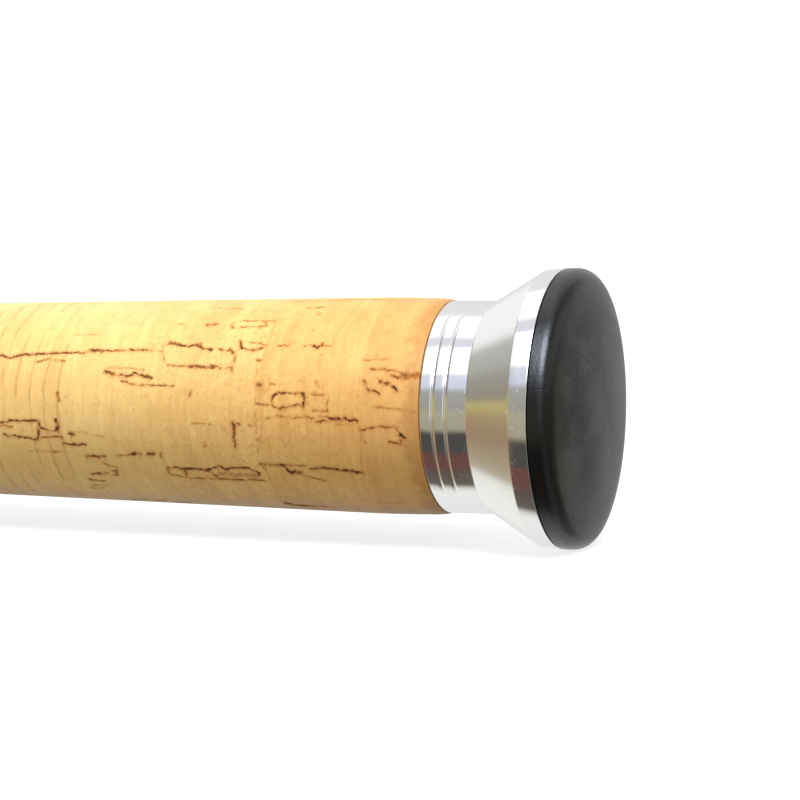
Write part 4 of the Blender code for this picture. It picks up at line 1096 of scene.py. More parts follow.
def barrel_r(s, angle):
    """The barrel's radius: round, flat on its land, and with its thread."""
    turn = ((s - THREAD_S) / THREAD_PITCH - angle / (2 * math.pi)) % 1.0
    ridge = step_up(abs(turn - 0.5), RIDGE_HALF, CREST_HALF)
    sunk = step_up(s, THREAD_START_S, THREAD_S) * THREAD_DEPTH
    ridge *= step_up(s, THREAD_S, THREAD_S + THREAD_RUNOUT)
    ridge *= 1.0 - step_up(s, THREAD_END_S - THREAD_RUNOUT, THREAD_END_S)
    r = BARREL_R - sunk * (1.0 - ridge)
    if abs(angle) < math.pi / 2:
        raised = step_up(s, LAND_S, LAND_S + LAND_RISE)
        raised *= 1.0 - step_up(s, LAND_END_S - LAND_RISE, LAND_END_S)
        r = min(r, (LAND_HEIGHT + LAND_RISE * raised) / math.cos(angle))
    return r


barrel_turns = steps(-math.pi, math.pi, BARREL_SIDES + 1)[:-1]
barrel_s = [BARREL_S, BARREL_S + 0.0001, BARREL_STRETCHES[0][0]]
for stretch in BARREL_STRETCHES:
    barrel_s += spread(*stretch)[1:]
barrel_ends = (
    (BARREL_END_S, BARREL_R - BARREL_CHAMFER),
    (BARREL_END_S, BARREL_BORE_R),
    (BARREL_S, BARREL_BORE_R),
)
barrel_rows = [[rod_point(s, barrel_r(s, turn), turn) for turn in barrel_turns] for s in barrel_s]
barrel_rows += [[rod_point(s, r, turn) for turn in barrel_turns] for s, r in barrel_ends]
barrel = skin(barrel_rows, closed=True)
nylon = Finish("graphite_nylon")
moulded = nylon.noise(nylon.place, 1700.0, 3.0, 0.6)
flow = nylon.noise(nylon.place, 110.0, 3.0)
glint = nylon.smooth(nylon.cells(nylon.place, 1900.0), 0.22, 0.05)
nylon_colour = nylon.mix(nylon.smooth(flow, 0.3, 0.7), tone(42, 42, 45), tone(52, 52, 55))
nylon.set(
    base_color=nylon.mix(glint * 0.30, nylon_colour, tone(96, 98, 104)),
    roughness=0.34 + moulded * 0.10,
)
nylon.bump(moulded, NYLON_RELIEF)
piece("reel_seat_barrel", barrel, nylon.material, "rod", "graphite", "reel_seat")

foam = Finish("arbor_foam")
foam_cells = foam.cells(foam.place, 2200.0)
foam.set(base_color=foam.mix(foam_cells, tone(70, 70, 72), tone(38, 38, 40)), roughness=0.85)
foam.bump(foam_cells, FOAM_RELIEF)
for arbor in ("rear_arbor", "front_arbor"):
    arbor_materials = frame["nodes"][arbor].data.materials
    arbor_materials.clear()
    arbor_materials.append(foam.material)


# The hoods clamp the two ends of the reel's foot. Each is moulded like the barrel, with a bead
# round its mouth and an arched pocket. The rear one is glued on, and the front one slides.
HOOD_LENGTH = 0.0220
HOOD_R = 0.0121
HOOD_WALL = 0.0015
HOOD_BEAD = 0.0004
HOOD_BORE_R = 0.01095
POCKET_DEPTH = 0.0140
POCKET_HALF_WIDTH = 0.0078
POCKET_MOUTH_TOP = 0.0154
POCKET_INNER_TOP = 0.0134
POCKET_ROUNDNESS = 4.0
FIXED_MOUTH_S = 0.3432
SLIDING_MOUTH_S = 0.3912
HOOD_SIDES = 144
WIDE = POCKET_HALF_WIDTH + HOOD_WALL
MOUTH_TOP = POCKET_MOUTH_TOP + HOOD_WALL
# A hood's corners along it: how far behind its mouth, the radius of its circle, the half width and
# the top of its arch, and how much of the corner a round cuts off.
HOOD_CORNERS = (
    (0.0, HOOD_R, WIDE, MOUTH_TOP, 0.0003),
    (0.0008, HOOD_R + HOOD_BEAD, WIDE + HOOD_BEAD, MOUTH_TOP + HOOD_BEAD, 0.0006),
    (0.0024, HOOD_R, WIDE, MOUTH_TOP - HOOD_BEAD, 0.0010),
    (POCKET_DEPTH + HOOD_WALL, HOOD_R, WIDE, POCKET_INNER_TOP + HOOD_WALL, 0.0030),
    (HOOD_LENGTH - 0.0016, HOOD_R, WIDE, HOOD_R, 0.0010),
    (HOOD_LENGTH, HOOD_R - HOOD_BEAD, WIDE, 0.0, 0.0002),
    (HOOD_LENGTH, HOOD_BORE_R, POCKET_HALF_WIDTH, 0.0, 0.0),
    (POCKET_DEPTH + 0.0003, HOOD_BORE_R, POCKET_HALF_WIDTH, 0.0, 0.0),
    (POCKET_DEPTH, HOOD_BORE_R, POCKET_HALF_WIDTH, POCKET_INNER_TOP, 0.0004),
    (0.0, HOOD_BORE_R, POCKET_HALF_WIDTH, POCKET_MOUTH_TOP, 0.0003),
)


def arch_r(angle, circle_r, half_width, top):
    """The radius of a hood's section: a circle with an arch on the reel's side."""
    height = math.cos(angle)
    if height <= 0 or top <= 0:
        return circle_r
    across, height = abs(math.sin(angle)) / half_width, height / top
    arch = (across**POCKET_ROUNDNESS + height**POCKET_ROUNDNESS) ** (-1 / POCKET_ROUNDNESS)
    return max(circle_r, arch)


def lathed(column, sides):
    """A closed piece from the corners that column gives for each angle round it."""
    angles = whole_turn(sides)
    columns = [filleted(column(angle)) for angle in angles]
    rows = [[rod_point(*point, angle) for point, angle in zip(row, angles)] for row in zip(*columns)]
    return skin(rows, closed=True)


def hood(mouth_s, direction):
    """A hood that runs from its mouth in the direction +1, to the tip, or -1, to the butt."""

    def column(angle):
        return [
            (mouth_s + direction * depth, arch_r(angle, *section), round_cut)
            for depth, *section, round_cut in HOOD_CORNERS
        ]

    return lathed(column, HOOD_SIDES)


rear_hood = hood(FIXED_MOUTH_S, -1)
piece("rear_hood", rear_hood, nylon.material, "rod", "graphite", "fixed_hood")
front_hood = hood(SLIDING_MOUTH_S, 1)
piece("front_hood", front_hood, nylon.material, "hood", "graphite", "sliding_hood")


# The slip washer is a plain moulded acetal ring, loose round the barrel's thread between the
# sliding hood and the lock nut. It lets the nut turn without dragging the hood round.
WASHER_S = 0.4133
WASHER_THICKNESS = 0.0012
WASHER_R = 0.0120
THREAD_CLEAR_R = 0.01096
washer_end = WASHER_S + WASHER_THICKNESS
washer_outline = filleted(
    [
        (WASHER_S, THREAD_CLEAR_R),
        (WASHER_S, WASHER_R, RING_EDGE),
        (washer_end, WASHER_R, RING_EDGE),
        (washer_end, THREAD_CLEAR_R),
    ]
)
acetal = Finish("washer_acetal")
moulding = acetal.noise(acetal.place, 800.0, 3.0)
acetal.set(base_color=acetal.mix(moulding, tone(34, 34, 36), tone(46, 46, 48)), roughness=0.30)
washer = turned(washer_outline, FINE_SIDES)
piece("acetal_washer", washer, acetal.material, "hood", "graphite", "slip_washer")


# The lock nut is turned from aluminium, with milled finger flutes that end before its front
# collar, and ridges left between them. It runs on the barrel's thread and pushes the hood.
NUT_S = 0.4146
NUT_LENGTH = 0.0140
NUT_R = 0.0124
NUT_END_R = 0.0118
NUT_FLUTES = 20
NUT_FLUTE_DEPTH = 0.0005
NUT_FLUTE_SHARPNESS = 1.5
NUT_CHAMFER = 0.0012
NUT_BEND = 0.0006
NUT_COLLAR_BEND = 0.0004
NUT_SIDES = NUT_FLUTES * 20
nut_end = NUT_S + NUT_LENGTH


def nut_column(angle):
    wave = 0.5 - 0.5 * math.cos(angle * NUT_FLUTES)
    fluted = NUT_R - NUT_FLUTE_DEPTH * wave**NUT_FLUTE_SHARPNESS
    return [
        (NUT_S, THREAD_CLEAR_R),
        (NUT_S, NUT_END_R, RING_EDGE),
        (NUT_S + NUT_CHAMFER, fluted, NUT_BEND),
        (nut_end - 2 * NUT_CHAMFER, fluted, NUT_BEND),
        (nut_end - NUT_CHAMFER, NUT_R - NUT_FLUTE_DEPTH, NUT_COLLAR_BEND),
        (nut_end, NUT_END_R - NUT_FLUTE_DEPTH, RING_EDGE),
        (nut_end, THREAD_CLEAR_R),
    ]


nut_metal = aluminium("nut_aluminium", NUT_S + NUT_CHAMFER, nut_end - NUT_CHAMFER)
nut_shape = lathed(nut_column, NUT_SIDES)
piece("fluted_nut", nut_shape, nut_metal, "nut", "aluminium", "lock_nut")


# The foregrip is eight more cork rings, glued together and onto the blank like the rear grip, and
# turned to a taper that runs out to the winding check.
FOREGRIP_S = 0.4413
FOREGRIP_END_S = 0.5429
FORE_SEAT_R = 0.0118
FORE_FRONT_R = 0.0078
FORE_FRONT_SLOPE = -0.030
FORE_EDGE = 0.0010
FORE_STEP = 0.0020


def foregrip_r(s):
    start = (FOREGRIP_S, FORE_SEAT_R, 0.0)
    return curve_r(s, start, (FOREGRIP_END_S, FORE_FRONT_R, FORE_FRONT_SLOPE))


fore_s = spread(FOREGRIP_S + 2 * FORE_EDGE, FOREGRIP_END_S - FORE_EDGE, FORE_STEP)
foregrip_outline = filleted(
    [
        (FOREGRIP_S, bore_r(FOREGRIP_S)),
        (FOREGRIP_S, FORE_SEAT_R, FORE_EDGE),
        *[(s, foregrip_r(s)) for s in fore_s],
        (FOREGRIP_END_S, FORE_FRONT_R, CORK_EDGE),
        (FOREGRIP_END_S, bore_r(FOREGRIP_END_S)),
    ]
)
fore_cork = cork("foregrip_cork", FOREGRIP_S, False)
piece("fore_grip", turned(foregrip_outline, FINE_SIDES), fore_cork, "rod", "cork", "foregrip")


# The winding check is a small tapered ring, turned from aluminium. It is slid down the blank and
# glued against the foregrip, and covers the cork's front end.
CHECK_S = 0.5430
CHECK_LENGTH = 0.0045
CHECK_R = 0.0074
CHECK_BAND = 0.0013
CHECK_WALL = 0.0006
CHECK_BEND = 0.0003
CHECK_SIDES = 96
check_end = CHECK_S + CHECK_LENGTH
check_bore = bore_r(CHECK_S)
check_outline = filleted(
    [
        (CHECK_S, check_bore),
        (CHECK_S, CHECK_R, RING_EDGE),
        (CHECK_S + CHECK_BAND, CHECK_R, CHECK_BEND),
        (check_end, check_bore + CHECK_WALL, CHECK_BEND),
        (check_end, check_bore),
    ]
)
check_metal = aluminium("check_aluminium", CHECK_S + CHECK_BAND, check_end)
check = turned(check_outline, CHECK_SIDES)
piece("taper_check", check, check_metal, "rod", "aluminium", "winding_check")


# The blank is a hollow tapered tube of carbon cloth, rolled and baked under shrink tape, whose
# spiral print stays faintly visible under a clear coat. It runs from the rear grip to the tip.
BLANK_WALL = 0.0010
BLANK_SOLID_TIP = 0.120
BLANK_TIP_EDGE = 0.0002
BLANK_STEP = 0.010
BLANK_BORE_STEP = 0.12
BLANK_SIDES = 64
TAPE_PITCH = 0.0032
CARBON_RELIEF = 0.00001
blank_bore_end = BLANK_TIP_S - BLANK_SOLID_TIP
outside_s = spread(BLANK_BUTT_S, BLANK_TIP_S - BLANK_TIP_EDGE, BLANK_STEP)
blank_outline = [
    (blank_bore_end, 0.0),
    *[(s, blank_r(s) - BLANK_WALL) for s in spread(blank_bore_end, BLANK_BUTT_S, BLANK_BORE_STEP)],
    *[(s, blank_r(s)) for s in outside_s],
    (BLANK_TIP_S, blank_r(BLANK_TIP_S) - BLANK_TIP_EDGE),
    (BLANK_TIP_S, 0.0),
]
carbon = Finish("carbon_blank")
tape_turn = carbon.s / TAPE_PITCH + carbon.angle / (2 * math.pi)
tape_edge = (tape_turn.math("FRACT") - 0.5).math("ABSOLUTE")
tape = carbon.smooth(tape_edge, 0.36, 0.48)
fibres_place = carbon.combine(carbon.s * 0.06, carbon.y, carbon.z)
fibres = carbon.noise(fibres_place, 2600.0, 3.0, 0.6)
blotches = carbon.noise(carbon.place, 60.0, 3.0)
cloth = carbon.mix(carbon.smooth(fibres, 0.35, 0.75), tone(26, 28, 32), tone(58, 62, 68))
carbon.set(
    base_color=carbon.mix(tape * 0.35, cloth, tone(20, 21, 24)),
    roughness=0.30 + blotches * 0.12,
    metallic=0.25,
    coat_weight=1.0,
    coat_roughness=0.06,
)
carbon.bump(fibres * 0.3 - tape, CARBON_RELIEF)
blank_shape = turned(blank_outline, BLANK_SIDES)
piece("carbon_tube", blank_shape, carbon.material, "rod", "carbon", "blank")


# The thread wraps hold the guides' feet to the blank. Nylon thread is wound on turn by turn, with a
# few turns of silver trim, and the whole is sealed with clear epoxy.
THREAD_R = 0.00013
THREAD_TURN = 0.00027
THREAD_SUNK = 0.70
THREAD_SIDES = 6
THREAD_RELIEF = 0.000008
TURN_POINTS = 32
WRAP_REACH = 0.02
THREAD_SHARP = math.radians(75)
WRAP_THICKNESS = 0.0005
WRAP_EDGE = 0.0002
WRAP_RAMP = 0.0020
WRAP_GAP = 0.00015
WRAP_SIDES = 72
WRAP_ROWS = 40
WRAP_BODY_SUNK = 0.6 * THREAD_R
PLAIN_FALL = 0.1
FOOT_END_THICKNESS = 0.0003
TRIM_FROM = 0.0016
TRIM_LENGTH = 0.0011


class Tree:
    """A Geometry Nodes tree, built with named inputs."""

    def __init__(self, name, **inputs):
        self.group = bpy.data.node_groups.new(name, "GeometryNodeTree")
        self.group.interface.new_socket("Geometry", in_out="OUTPUT", socket_type="NodeSocketGeometry")
        for title, kind in inputs.items():
            self.group.interface.new_socket(title, in_out="INPUT", socket_type="NodeSocket" + kind)
        self.given = self.group.nodes.new("NodeGroupInput").outputs
        self.result = self.group.nodes.new("NodeGroupOutput").inputs[0]

    def add(self, kind, inputs=None, output=0, **settings):
        node = self.group.nodes.new(kind)
        for name, value in settings.items():
            setattr(node, name, value)
        for name, value in (inputs or {}).items():
            if isinstance(value, bpy.types.NodeSocket):
                self.group.links.new(value, node.inputs[name])
            else:
                node.inputs[name].default_value = value
        return node.outputs[output]

    def math(self, operation, *values):
        return self.add("ShaderNodeMath", dict(enumerate(values)), operation=operation)

    def scaled(self, vector, scale):
        inputs = {0: vector, "Scale": scale}
        return self.add("ShaderNodeVectorMath", inputs, operation="SCALE")

    def plus(self, first, second):
        return self.add("ShaderNodeVectorMath", {0: first, 1: second}, operation="ADD")

    def combine(self, x, y, z):
        return self.add("ShaderNodeCombineXYZ", {0: x, 1: y, 2: z})

    def finish(self, geometry):
        whole = self.add("GeometryNodeRealizeInstances", {"Geometry": geometry})
        inputs = {"Geometry": whole, "Material": self.given["Material"]}
        self.group.links.new(self.add("GeometryNodeSetMaterial", inputs), self.result)

    def run(self, name, **values):
        """The mesh that the tree makes with these inputs."""
        holder = bpy.data.objects.new(name, bpy.data.meshes.new(name))
        bpy.context.scene.collection.objects.link(holder)
        modifier = holder.modifiers.new("nodes", "NODES")
        modifier.node_group = self.group
        for item in self.group.interface.items_tree:
            if item.in_out == "INPUT":
                modifier[item.identifier] = values[item.name]
        graph = bpy.context.evaluated_depsgraph_get()
        mesh = bpy.data.meshes.new_from_object(holder.evaluated_get(graph))
        bpy.data.objects.remove(holder)
        return mesh


def make_winding_tree():
    """Thread wound round a body: a helix that is pressed onto the body and given thickness."""
    tree = Tree(
        "winding",
        Body="Object",
        Start="Float",
        End="Float",
        Turn="Float",
        Thread="Float",
        Points="Int",
        Material="Material",
    )
    given = tree.given
    length = tree.math("SUBTRACT", given["End"], given["Start"])
    turns = tree.math("DIVIDE", length, given["Turn"])
    count = tree.math("MULTIPLY", turns, given["Points"])
    line = tree.add("GeometryNodeCurvePrimitiveLine")
    points = tree.add("GeometryNodeResampleCurve", {"Curve": line, "Count": count})
    share = tree.add("GeometryNodeSplineParameter")
    angle = tree.math("MULTIPLY", tree.math("MULTIPLY", share, turns), 2 * math.pi)
    x = tree.math("SUBTRACT", 0.0, tree.math("MULTIPLY_ADD", share, length, given["Start"]))
    out = tree.combine(0.0, tree.math("COSINE", angle), tree.math("SINE", angle))
    body = tree.add("GeometryNodeObjectInfo", {"Object": given["Body"]}, output="Geometry")
    ray = {
        "Target Geometry": body,
        "Source Position": tree.plus(tree.combine(x, 0.0, 0.0), tree.scaled(out, WRAP_REACH)),
        "Ray Direction": tree.scaled(out, -1.0),
        "Ray Length": WRAP_REACH,
    }
    hit = tree.add("GeometryNodeRaycast", ray, output="Hit Position")
    proud = tree.math("MULTIPLY", given["Thread"], 1.0 - 2 * THREAD_SUNK)
    place = tree.plus(hit, tree.scaled(out, proud))
    wound = tree.add("GeometryNodeSetPosition", {"Geometry": points, "Position": place})
    round_thread = {"Resolution": THREAD_SIDES, "Radius": given["Thread"]}
    section = tree.add("GeometryNodeCurvePrimitiveCircle", round_thread)
    strand = {"Curve": wound, "Profile Curve": section, "Fill Caps": True}
    tree.finish(tree.add("GeometryNodeCurveToMesh", strand))
    return tree


winding = make_winding_tree()
thread = Finish("sealed_thread")
trimmed = thread.add("Attribute", output="Fac", attribute_name="trim")
fuzz = thread.noise(thread.place, 5200.0, 2.0, 0.6)
thread_colour = thread.mix(fuzz, tone(16, 17, 20), tone(34, 36, 42))
trim_colour = thread.mix(fuzz, tone(168, 168, 172), tone(206, 206, 208))
thread.set(
    base_color=thread.mix(trimmed, thread_colour, trim_colour),
    roughness=0.34 + fuzz * 0.12,
    metallic=trimmed * 0.8,
    coat_weight=1.0,
    coat_roughness=0.05,
)
thread.bump(fuzz, THREAD_RELIEF)


def wrap_body(start, end, lift, half_angle, fall):
    """The sealed body of a wrap: round, and raised by lift(S) over a foot of that half angle."""
    angles = whole_turn(WRAP_SIDES)

    def row(s, wall):
        loop = []
        for angle in angles:
            aside = abs((angle + math.pi) % (2 * math.pi) - math.pi)
            over = 1.0 - step_up(aside, half_angle, half_angle + fall)
            loop.append(rod_point(s, blank_r(s) + WRAP_GAP + wall + lift(s) * over, angle))
        return loop

    def wall(s):
        t = min(abs(s - start), abs(end - s)) / WRAP_RAMP
        return WRAP_EDGE + (WRAP_THICKNESS - WRAP_EDGE) * math.sqrt(min(t, 1.0))

    rows = [row(s, wall(s) - WRAP_BODY_SUNK) for s in steps(start, end, WRAP_ROWS)]
    return skin(rows + [row(end, 0.0), row(start, 0.0)], closed=True)


def wrap(name, start, end, lift, half_angle, fall, node):
    """A sealed wrap: its body, and the thread that shows on it, with silver turns by its start."""
    toward = math.copysign(1.0, end - start)
    body = wrap_body(start, end, lift, half_angle, fall)
    bmesh.ops.recalc_face_normals(body, faces=body.faces)
    body_mesh = bpy.data.meshes.new(name)
    body.to_mesh(body_mesh)
    core = bpy.data.objects.new(name, body_mesh)
    bpy.context.scene.collection.objects.link(core)
    strand = winding.run(
        name,
        Body=core,
        Start=min(start, end) + THREAD_R,
        End=max(start, end) - THREAD_R,
        Turn=THREAD_TURN,
        Thread=THREAD_R,
        Points=TURN_POINTS,
        Material=thread.material,
    )
    bpy.data.objects.remove(core)
    body.from_mesh(strand)
    made = piece(name, body, thread.material, "rod", "thread", node, sharp=THREAD_SHARP)
    trim_s = start + toward * TRIM_FROM
    low, high = sorted((trim_s, trim_s + toward * TRIM_LENGTH))
    places = [-(STRAIGHTEN @ vertex.co).x for vertex in made.data.vertices]
    trim = made.data.attributes.new("trim", "FLOAT", "POINT")
    trim.data.foreach_set("value", [float(low < s < high) for s in places])


def plain_wrap(name, start, end, node):
    """A wrap that holds no foot, so that nothing raises it."""
    wrap(name, start, end, lambda s: 0.0, 0.0, PLAIN_FALL, node)


GRIP_WRAP_S = 0.5476
GRIP_WRAP_END_S = 0.5776
plain_wrap("grip_winding", GRIP_WRAP_END_S, GRIP_WRAP_S, "grip_wrap")


# The hook keeper is a small stainless foot with an eye, bound to the blank by a wrap, and a folding
# ring of bent stainless wire that turns in the eye.
FOOT_WIDEST_SHARE = 0.9
FOOT_END_WIDTH = 0.45
FOOT_NOSE = 1 / 6
FOOT_EDGE_HEIGHT = 0.55
FOOT_ROUNDNESS = 0.98
FOOT_ROWS = 16
FOOT_SOLE_POINTS = 9
FOOT_CROWN_POINTS = 17
LIFT_RAMP = (-WRAP_RAMP * 0.6, WRAP_RAMP * 0.2)
LIFT_FALL_IN_THICKNESSES = 1.5
WIRE_SIDES = 14
PATH_COUNT = 10
STEEL_RELIEF = 0.000003


def foot_half_angle(end_s, root_s, half_width):
    under = blank_r((end_s + root_s) / 2) + WRAP_GAP
    return math.asin(min(FOOT_WIDEST_SHARE, half_width / under))


def foot(end_s, root_s, half_width, thickness):
    """A flat foot on the blank that thickens from its end to its root, with rounded edges."""
    half_angle = foot_half_angle(end_s, root_s, half_width)
    rows = []
    for t in steps(0.0, 1.0, FOOT_ROWS):
        s = end_s + (root_s - end_s) * t
        nose = math.sqrt(min(t / FOOT_NOSE, 1.0))
        narrow = half_angle * (FOOT_END_WIDTH + (1 - FOOT_END_WIDTH) * nose)
        depth = FOOT_END_THICKNESS + (thickness - FOOT_END_THICKNESS) * t
        under = blank_r(s) + WRAP_GAP
        loop = [rod_point(s, under, angle) for angle in steps(-narrow, narrow, FOOT_SOLE_POINTS)]
        for share in steps(1.0, -1.0, FOOT_CROWN_POINTS):
            arched = math.sqrt(1 - FOOT_ROUNDNESS * share**2)
            crown = FOOT_EDGE_HEIGHT + (1 - FOOT_EDGE_HEIGHT) * arched
            loop.append(rod_point(s, under + depth * crown, narrow * share))
        rows.append(loop)
    return skin(rows)


def foot_wrap(name, end_s, root_s, half_width, thickness, covered, node):
    """A wrap over a foot, from the bare blank beyond its end to the place called covered."""
    half_angle = foot_half_angle(end_s, root_s, half_width)
    toward = math.copysign(1.0, root_s - end_s)
    open_s = end_s - toward * WRAP_RAMP * 2

    def lift(s):
        share = max((s - end_s) / (root_s - end_s), 0.0)
        on_foot = FOOT_END_THICKNESS + (thickness - FOOT_END_THICKNESS) * share + WRAP_GAP
        return on_foot * step_up((s - end_s) * toward, *LIFT_RAMP)

    fall = thickness * LIFT_FALL_IN_THICKNESSES / blank_r(root_s)
    wrap(name, open_s, covered, lift, half_angle, fall, node)


def smooth_path(corners):
    """Evenly spread points on a smooth curve through the corners."""
    padded = [corners[0], *corners, corners[-1]]
    points = []
    for p0, p1, p2, p3 in zip(padded, padded[1:], padded[2:], padded[3:]):
        for k in range(PATH_COUNT):
            t = k / PATH_COUNT
            squared = (p0 * 2 - p1 * 5 + p2 * 4 - p3) * t**2
            cubed = (p1 * 3 - p0 - p2 * 3 + p3) * t**3
            points.append((p1 * 2 + (p2 - p0) * t + squared + cubed) / 2)
    return points + [corners[-1]]


def wire(path, radius, sides=WIRE_SIDES, closed=False):
    """A round wire along a path of points."""
    turns = whole_turn(sides)
    rows = []
    side = None
    for i, point in enumerate(path):
        before = path[i - 1] if i or closed else point
        after = path[(i + 1) % len(path)] if i + 1 < len(path) or closed else point
        onward = (after - before).normalized()
        if side is None:
            side = onward.orthogonal().normalized()
        side = (side - onward * side.dot(onward)).normalized()
        other = onward.cross(side)
        rows.append([point + radius * (side * math.cos(a) + other * math.sin(a)) for a in turns])
    return skin(rows, closed)


def joined(shapes):
    """One mesh of several shapes."""
    whole = bmesh.new()
    for shape in shapes:
        bmesh.ops.recalc_face_normals(shape, faces=shape.faces)
        part = bpy.data.meshes.new("part")
        shape.to_mesh(part)
        shape.free()
        whole.from_mesh(part)
        bpy.data.meshes.remove(part)
    return whole


steel = Finish("polished_steel")
buffed = steel.noise(steel.place, 900.0, 3.0, 0.6)
dulled = steel.noise(steel.place, 150.0, 3.0, 0.55)
steel.set(
    base_color=steel.mix(dulled, tone(196, 197, 200), tone(224, 224, 226)),
    metallic=1.0,
    roughness=0.08 + dulled * 0.10 + buffed * 0.04,
)
steel.bump(buffed, STEEL_RELIEF)

KEEPER_FOOT_S = 0.6076
KEEPER_FOOT_LENGTH = 0.0120
KEEPER_FOOT_HALF_WIDTH = 0.0015
KEEPER_FOOT_THICKNESS = 0.0010
EYE_R = 0.0016
EYE_OVERLAP = 0.0005
EYE_BORE_R = 0.00085
EYE_WIDTH = 0.0026
EYE_EDGE = 0.0003
EYE_SIDES = 48
KEEPER_WIRE_R = 0.0006
KEEPER_WIRE_SIDES = 20
KEEPER_HALF_WIDTH = 0.0031
KEEPER_STRAIGHT = 0.0006
KEEPER_BEND_R = 0.0011
KEEPER_STRAIGHT_POINTS = 7
KEEPER_BEND_POINTS = 9
KEEPER_SIDE_POINTS = 33
QUARTER = math.pi / 2
keeper_root_s = KEEPER_FOOT_S + KEEPER_FOOT_LENGTH
eye_s = keeper_root_s + EYE_R - EYE_OVERLAP
eye_height = blank_r(eye_s) + WRAP_GAP + EYE_R
hinge = Vector((-eye_s, -eye_height, 0.0))
inner_half = KEEPER_HALF_WIDTH - KEEPER_BEND_R


def keeper_eye():
    """The eye: a short tube across the rod, with rounded ends."""
    end = EYE_WIDTH / 2
    corners = ((-end, EYE_BORE_R), (-end, EYE_R, EYE_EDGE), (end, EYE_R, EYE_EDGE), (end, EYE_BORE_R))
    turns = whole_turn(EYE_SIDES)
    rows = []
    for z, r in filleted(corners):
        rows.append([hinge + Vector((r * math.cos(a), r * math.sin(a), z)) for a in turns])
    return skin(rows, closed=True)


def keeper_bend(side, turns):
    """The bend at one side of the ring, from the straight in the eye to the ring's side."""
    middle = hinge + Vector((-KEEPER_BEND_R, 0.0, side * inner_half))
    return [
        middle + Vector((math.cos(turn), 0.0, side * math.sin(turn))) * KEEPER_BEND_R
        for turn in turns
    ]


keeper_foot = foot(KEEPER_FOOT_S, keeper_root_s, KEEPER_FOOT_HALF_WIDTH, KEEPER_FOOT_THICKNESS)
keeper_mount = joined([keeper_foot, keeper_eye()])
piece("keeper_mount", keeper_mount, steel.material, "rod", "polished_steel", "keeper_foot")
foot_wrap(
    "keeper_winding",
    KEEPER_FOOT_S,
    keeper_root_s,
    KEEPER_FOOT_HALF_WIDTH,
    KEEPER_FOOT_THICKNESS,
    eye_s - EYE_R - WRAP_GAP,
    "keeper_wrap",
)
in_eye = steps(-inner_half, inner_half, KEEPER_STRAIGHT_POINTS)[:-1]
keeper_path = [hinge + Vector((0.0, 0.0, z)) for z in in_eye]
keeper_path += keeper_bend(1, steps(0.0, QUARTER, KEEPER_BEND_POINTS))
far_middle = hinge - Vector((KEEPER_BEND_R + KEEPER_STRAIGHT, 0.0, 0.0))
for turn in steps(QUARTER, -QUARTER, KEEPER_SIDE_POINTS):
    from_middle = Vector((-math.cos(turn), 0.0, math.sin(turn))) * KEEPER_HALF_WIDTH
    keeper_path.append(far_middle + from_middle)
keeper_path += keeper_bend(-1, steps(QUARTER, 0.0, KEEPER_BEND_POINTS)[:-1])
keeper_loop = wire(keeper_path, KEEPER_WIRE_R, KEEPER_WIRE_SIDES, closed=True)
piece("keeper_loop", keeper_loop, steel.material, "keeper", "polished_steel", "keeper_ring")


# The guides lead the line. Each is a stainless frame, bent from wire and strip and polished, with
# a black ceramic ring pressed into its band. The three near the reel stand on two feet and the
# three near the tip on one, all bound to the blank by wraps.
RING_BORE_SHARE = 0.885
RING_BORE_LESS = 0.0006
RING_LENGTH_SHARE = 0.14
RING_LENGTH_MORE = 0.0012
RING_SIDES = 96
RING_SECTION_SIDES = 24
HOLDER_WALL = 0.0010
HOLDER_BEND = 0.0003
# The solid's band has flat sides, and this is how much further out its corners stand.
BAND_FLATS = 20
HOLDER_CORNER = 1 / math.cos(math.pi / BAND_FLATS)
HOLDER_SINK = 0.0006
FOOT_LENGTH_SHARE = 0.55
FOOT_LENGTH_MORE = 0.0060
FOOT_HALF_WIDTH_IN_WIRES = 1.5
FOOT_THICKNESS_IN_WIRES = 1.1
LEG_SPREAD = math.radians(48)
LEG_BEND_AT = 0.22
LEG_MIDDLE_AT = 0.60
REAR_LEG_REACH = 0.62
FRONT_LEG_REACH = 0.50
SINGLE_LEG_REACH = 1.05
REAR_STANCE = 0.50
SINGLE_STANCE = 0.40
COVERED_IN_WIRES = 2.0
# Each guide's name, S, ring radius, height of its ring's middle over the rod's middle, wire radius,
# and whether it has two feet.
GUIDES = (
    ("stripper_guide", 0.720, 0.0150, 0.0350, 0.00110, True),
    ("second_guide", 0.925, 0.0100, 0.0220, 0.00090, True),
    ("third_guide", 1.105, 0.0080, 0.0170, 0.00080, True),
    ("fourth_guide", 1.255, 0.0060, 0.0125, 0.00055, False),
    ("fifth_guide", 1.385, 0.0050, 0.0105, 0.00050, False),
    ("sixth_guide", 1.500, 0.0045, 0.0102, 0.00050, False),
)

ceramic = Finish("black_ceramic")
fired = ceramic.noise(ceramic.place, 700.0, 3.0)
ceramic.set(
    base_color=ceramic.mix(fired, tone(30, 31, 35), tone(44, 46, 52)),
    roughness=0.07 + fired * 0.06,
    specular_ior_level=0.7,
)


def ring_length(ring_r):
    return ring_r * RING_LENGTH_SHARE + RING_LENGTH_MORE


def ceramic_ring(s, ring_r, height):
    """The ceramic ring that the line runs through, with an oval section."""
    inner_r = ring_r * RING_BORE_SHARE - RING_BORE_LESS
    half_length = ring_length(ring_r) / 2
    middle, half_depth = (ring_r + inner_r) / 2, (ring_r - inner_r) / 2
    section = [
        (s + half_length * math.cos(a), middle + half_depth * math.sin(a))
        for a in whole_turn(RING_SECTION_SIDES)
    ]
    return turned(section, RING_SIDES, height)


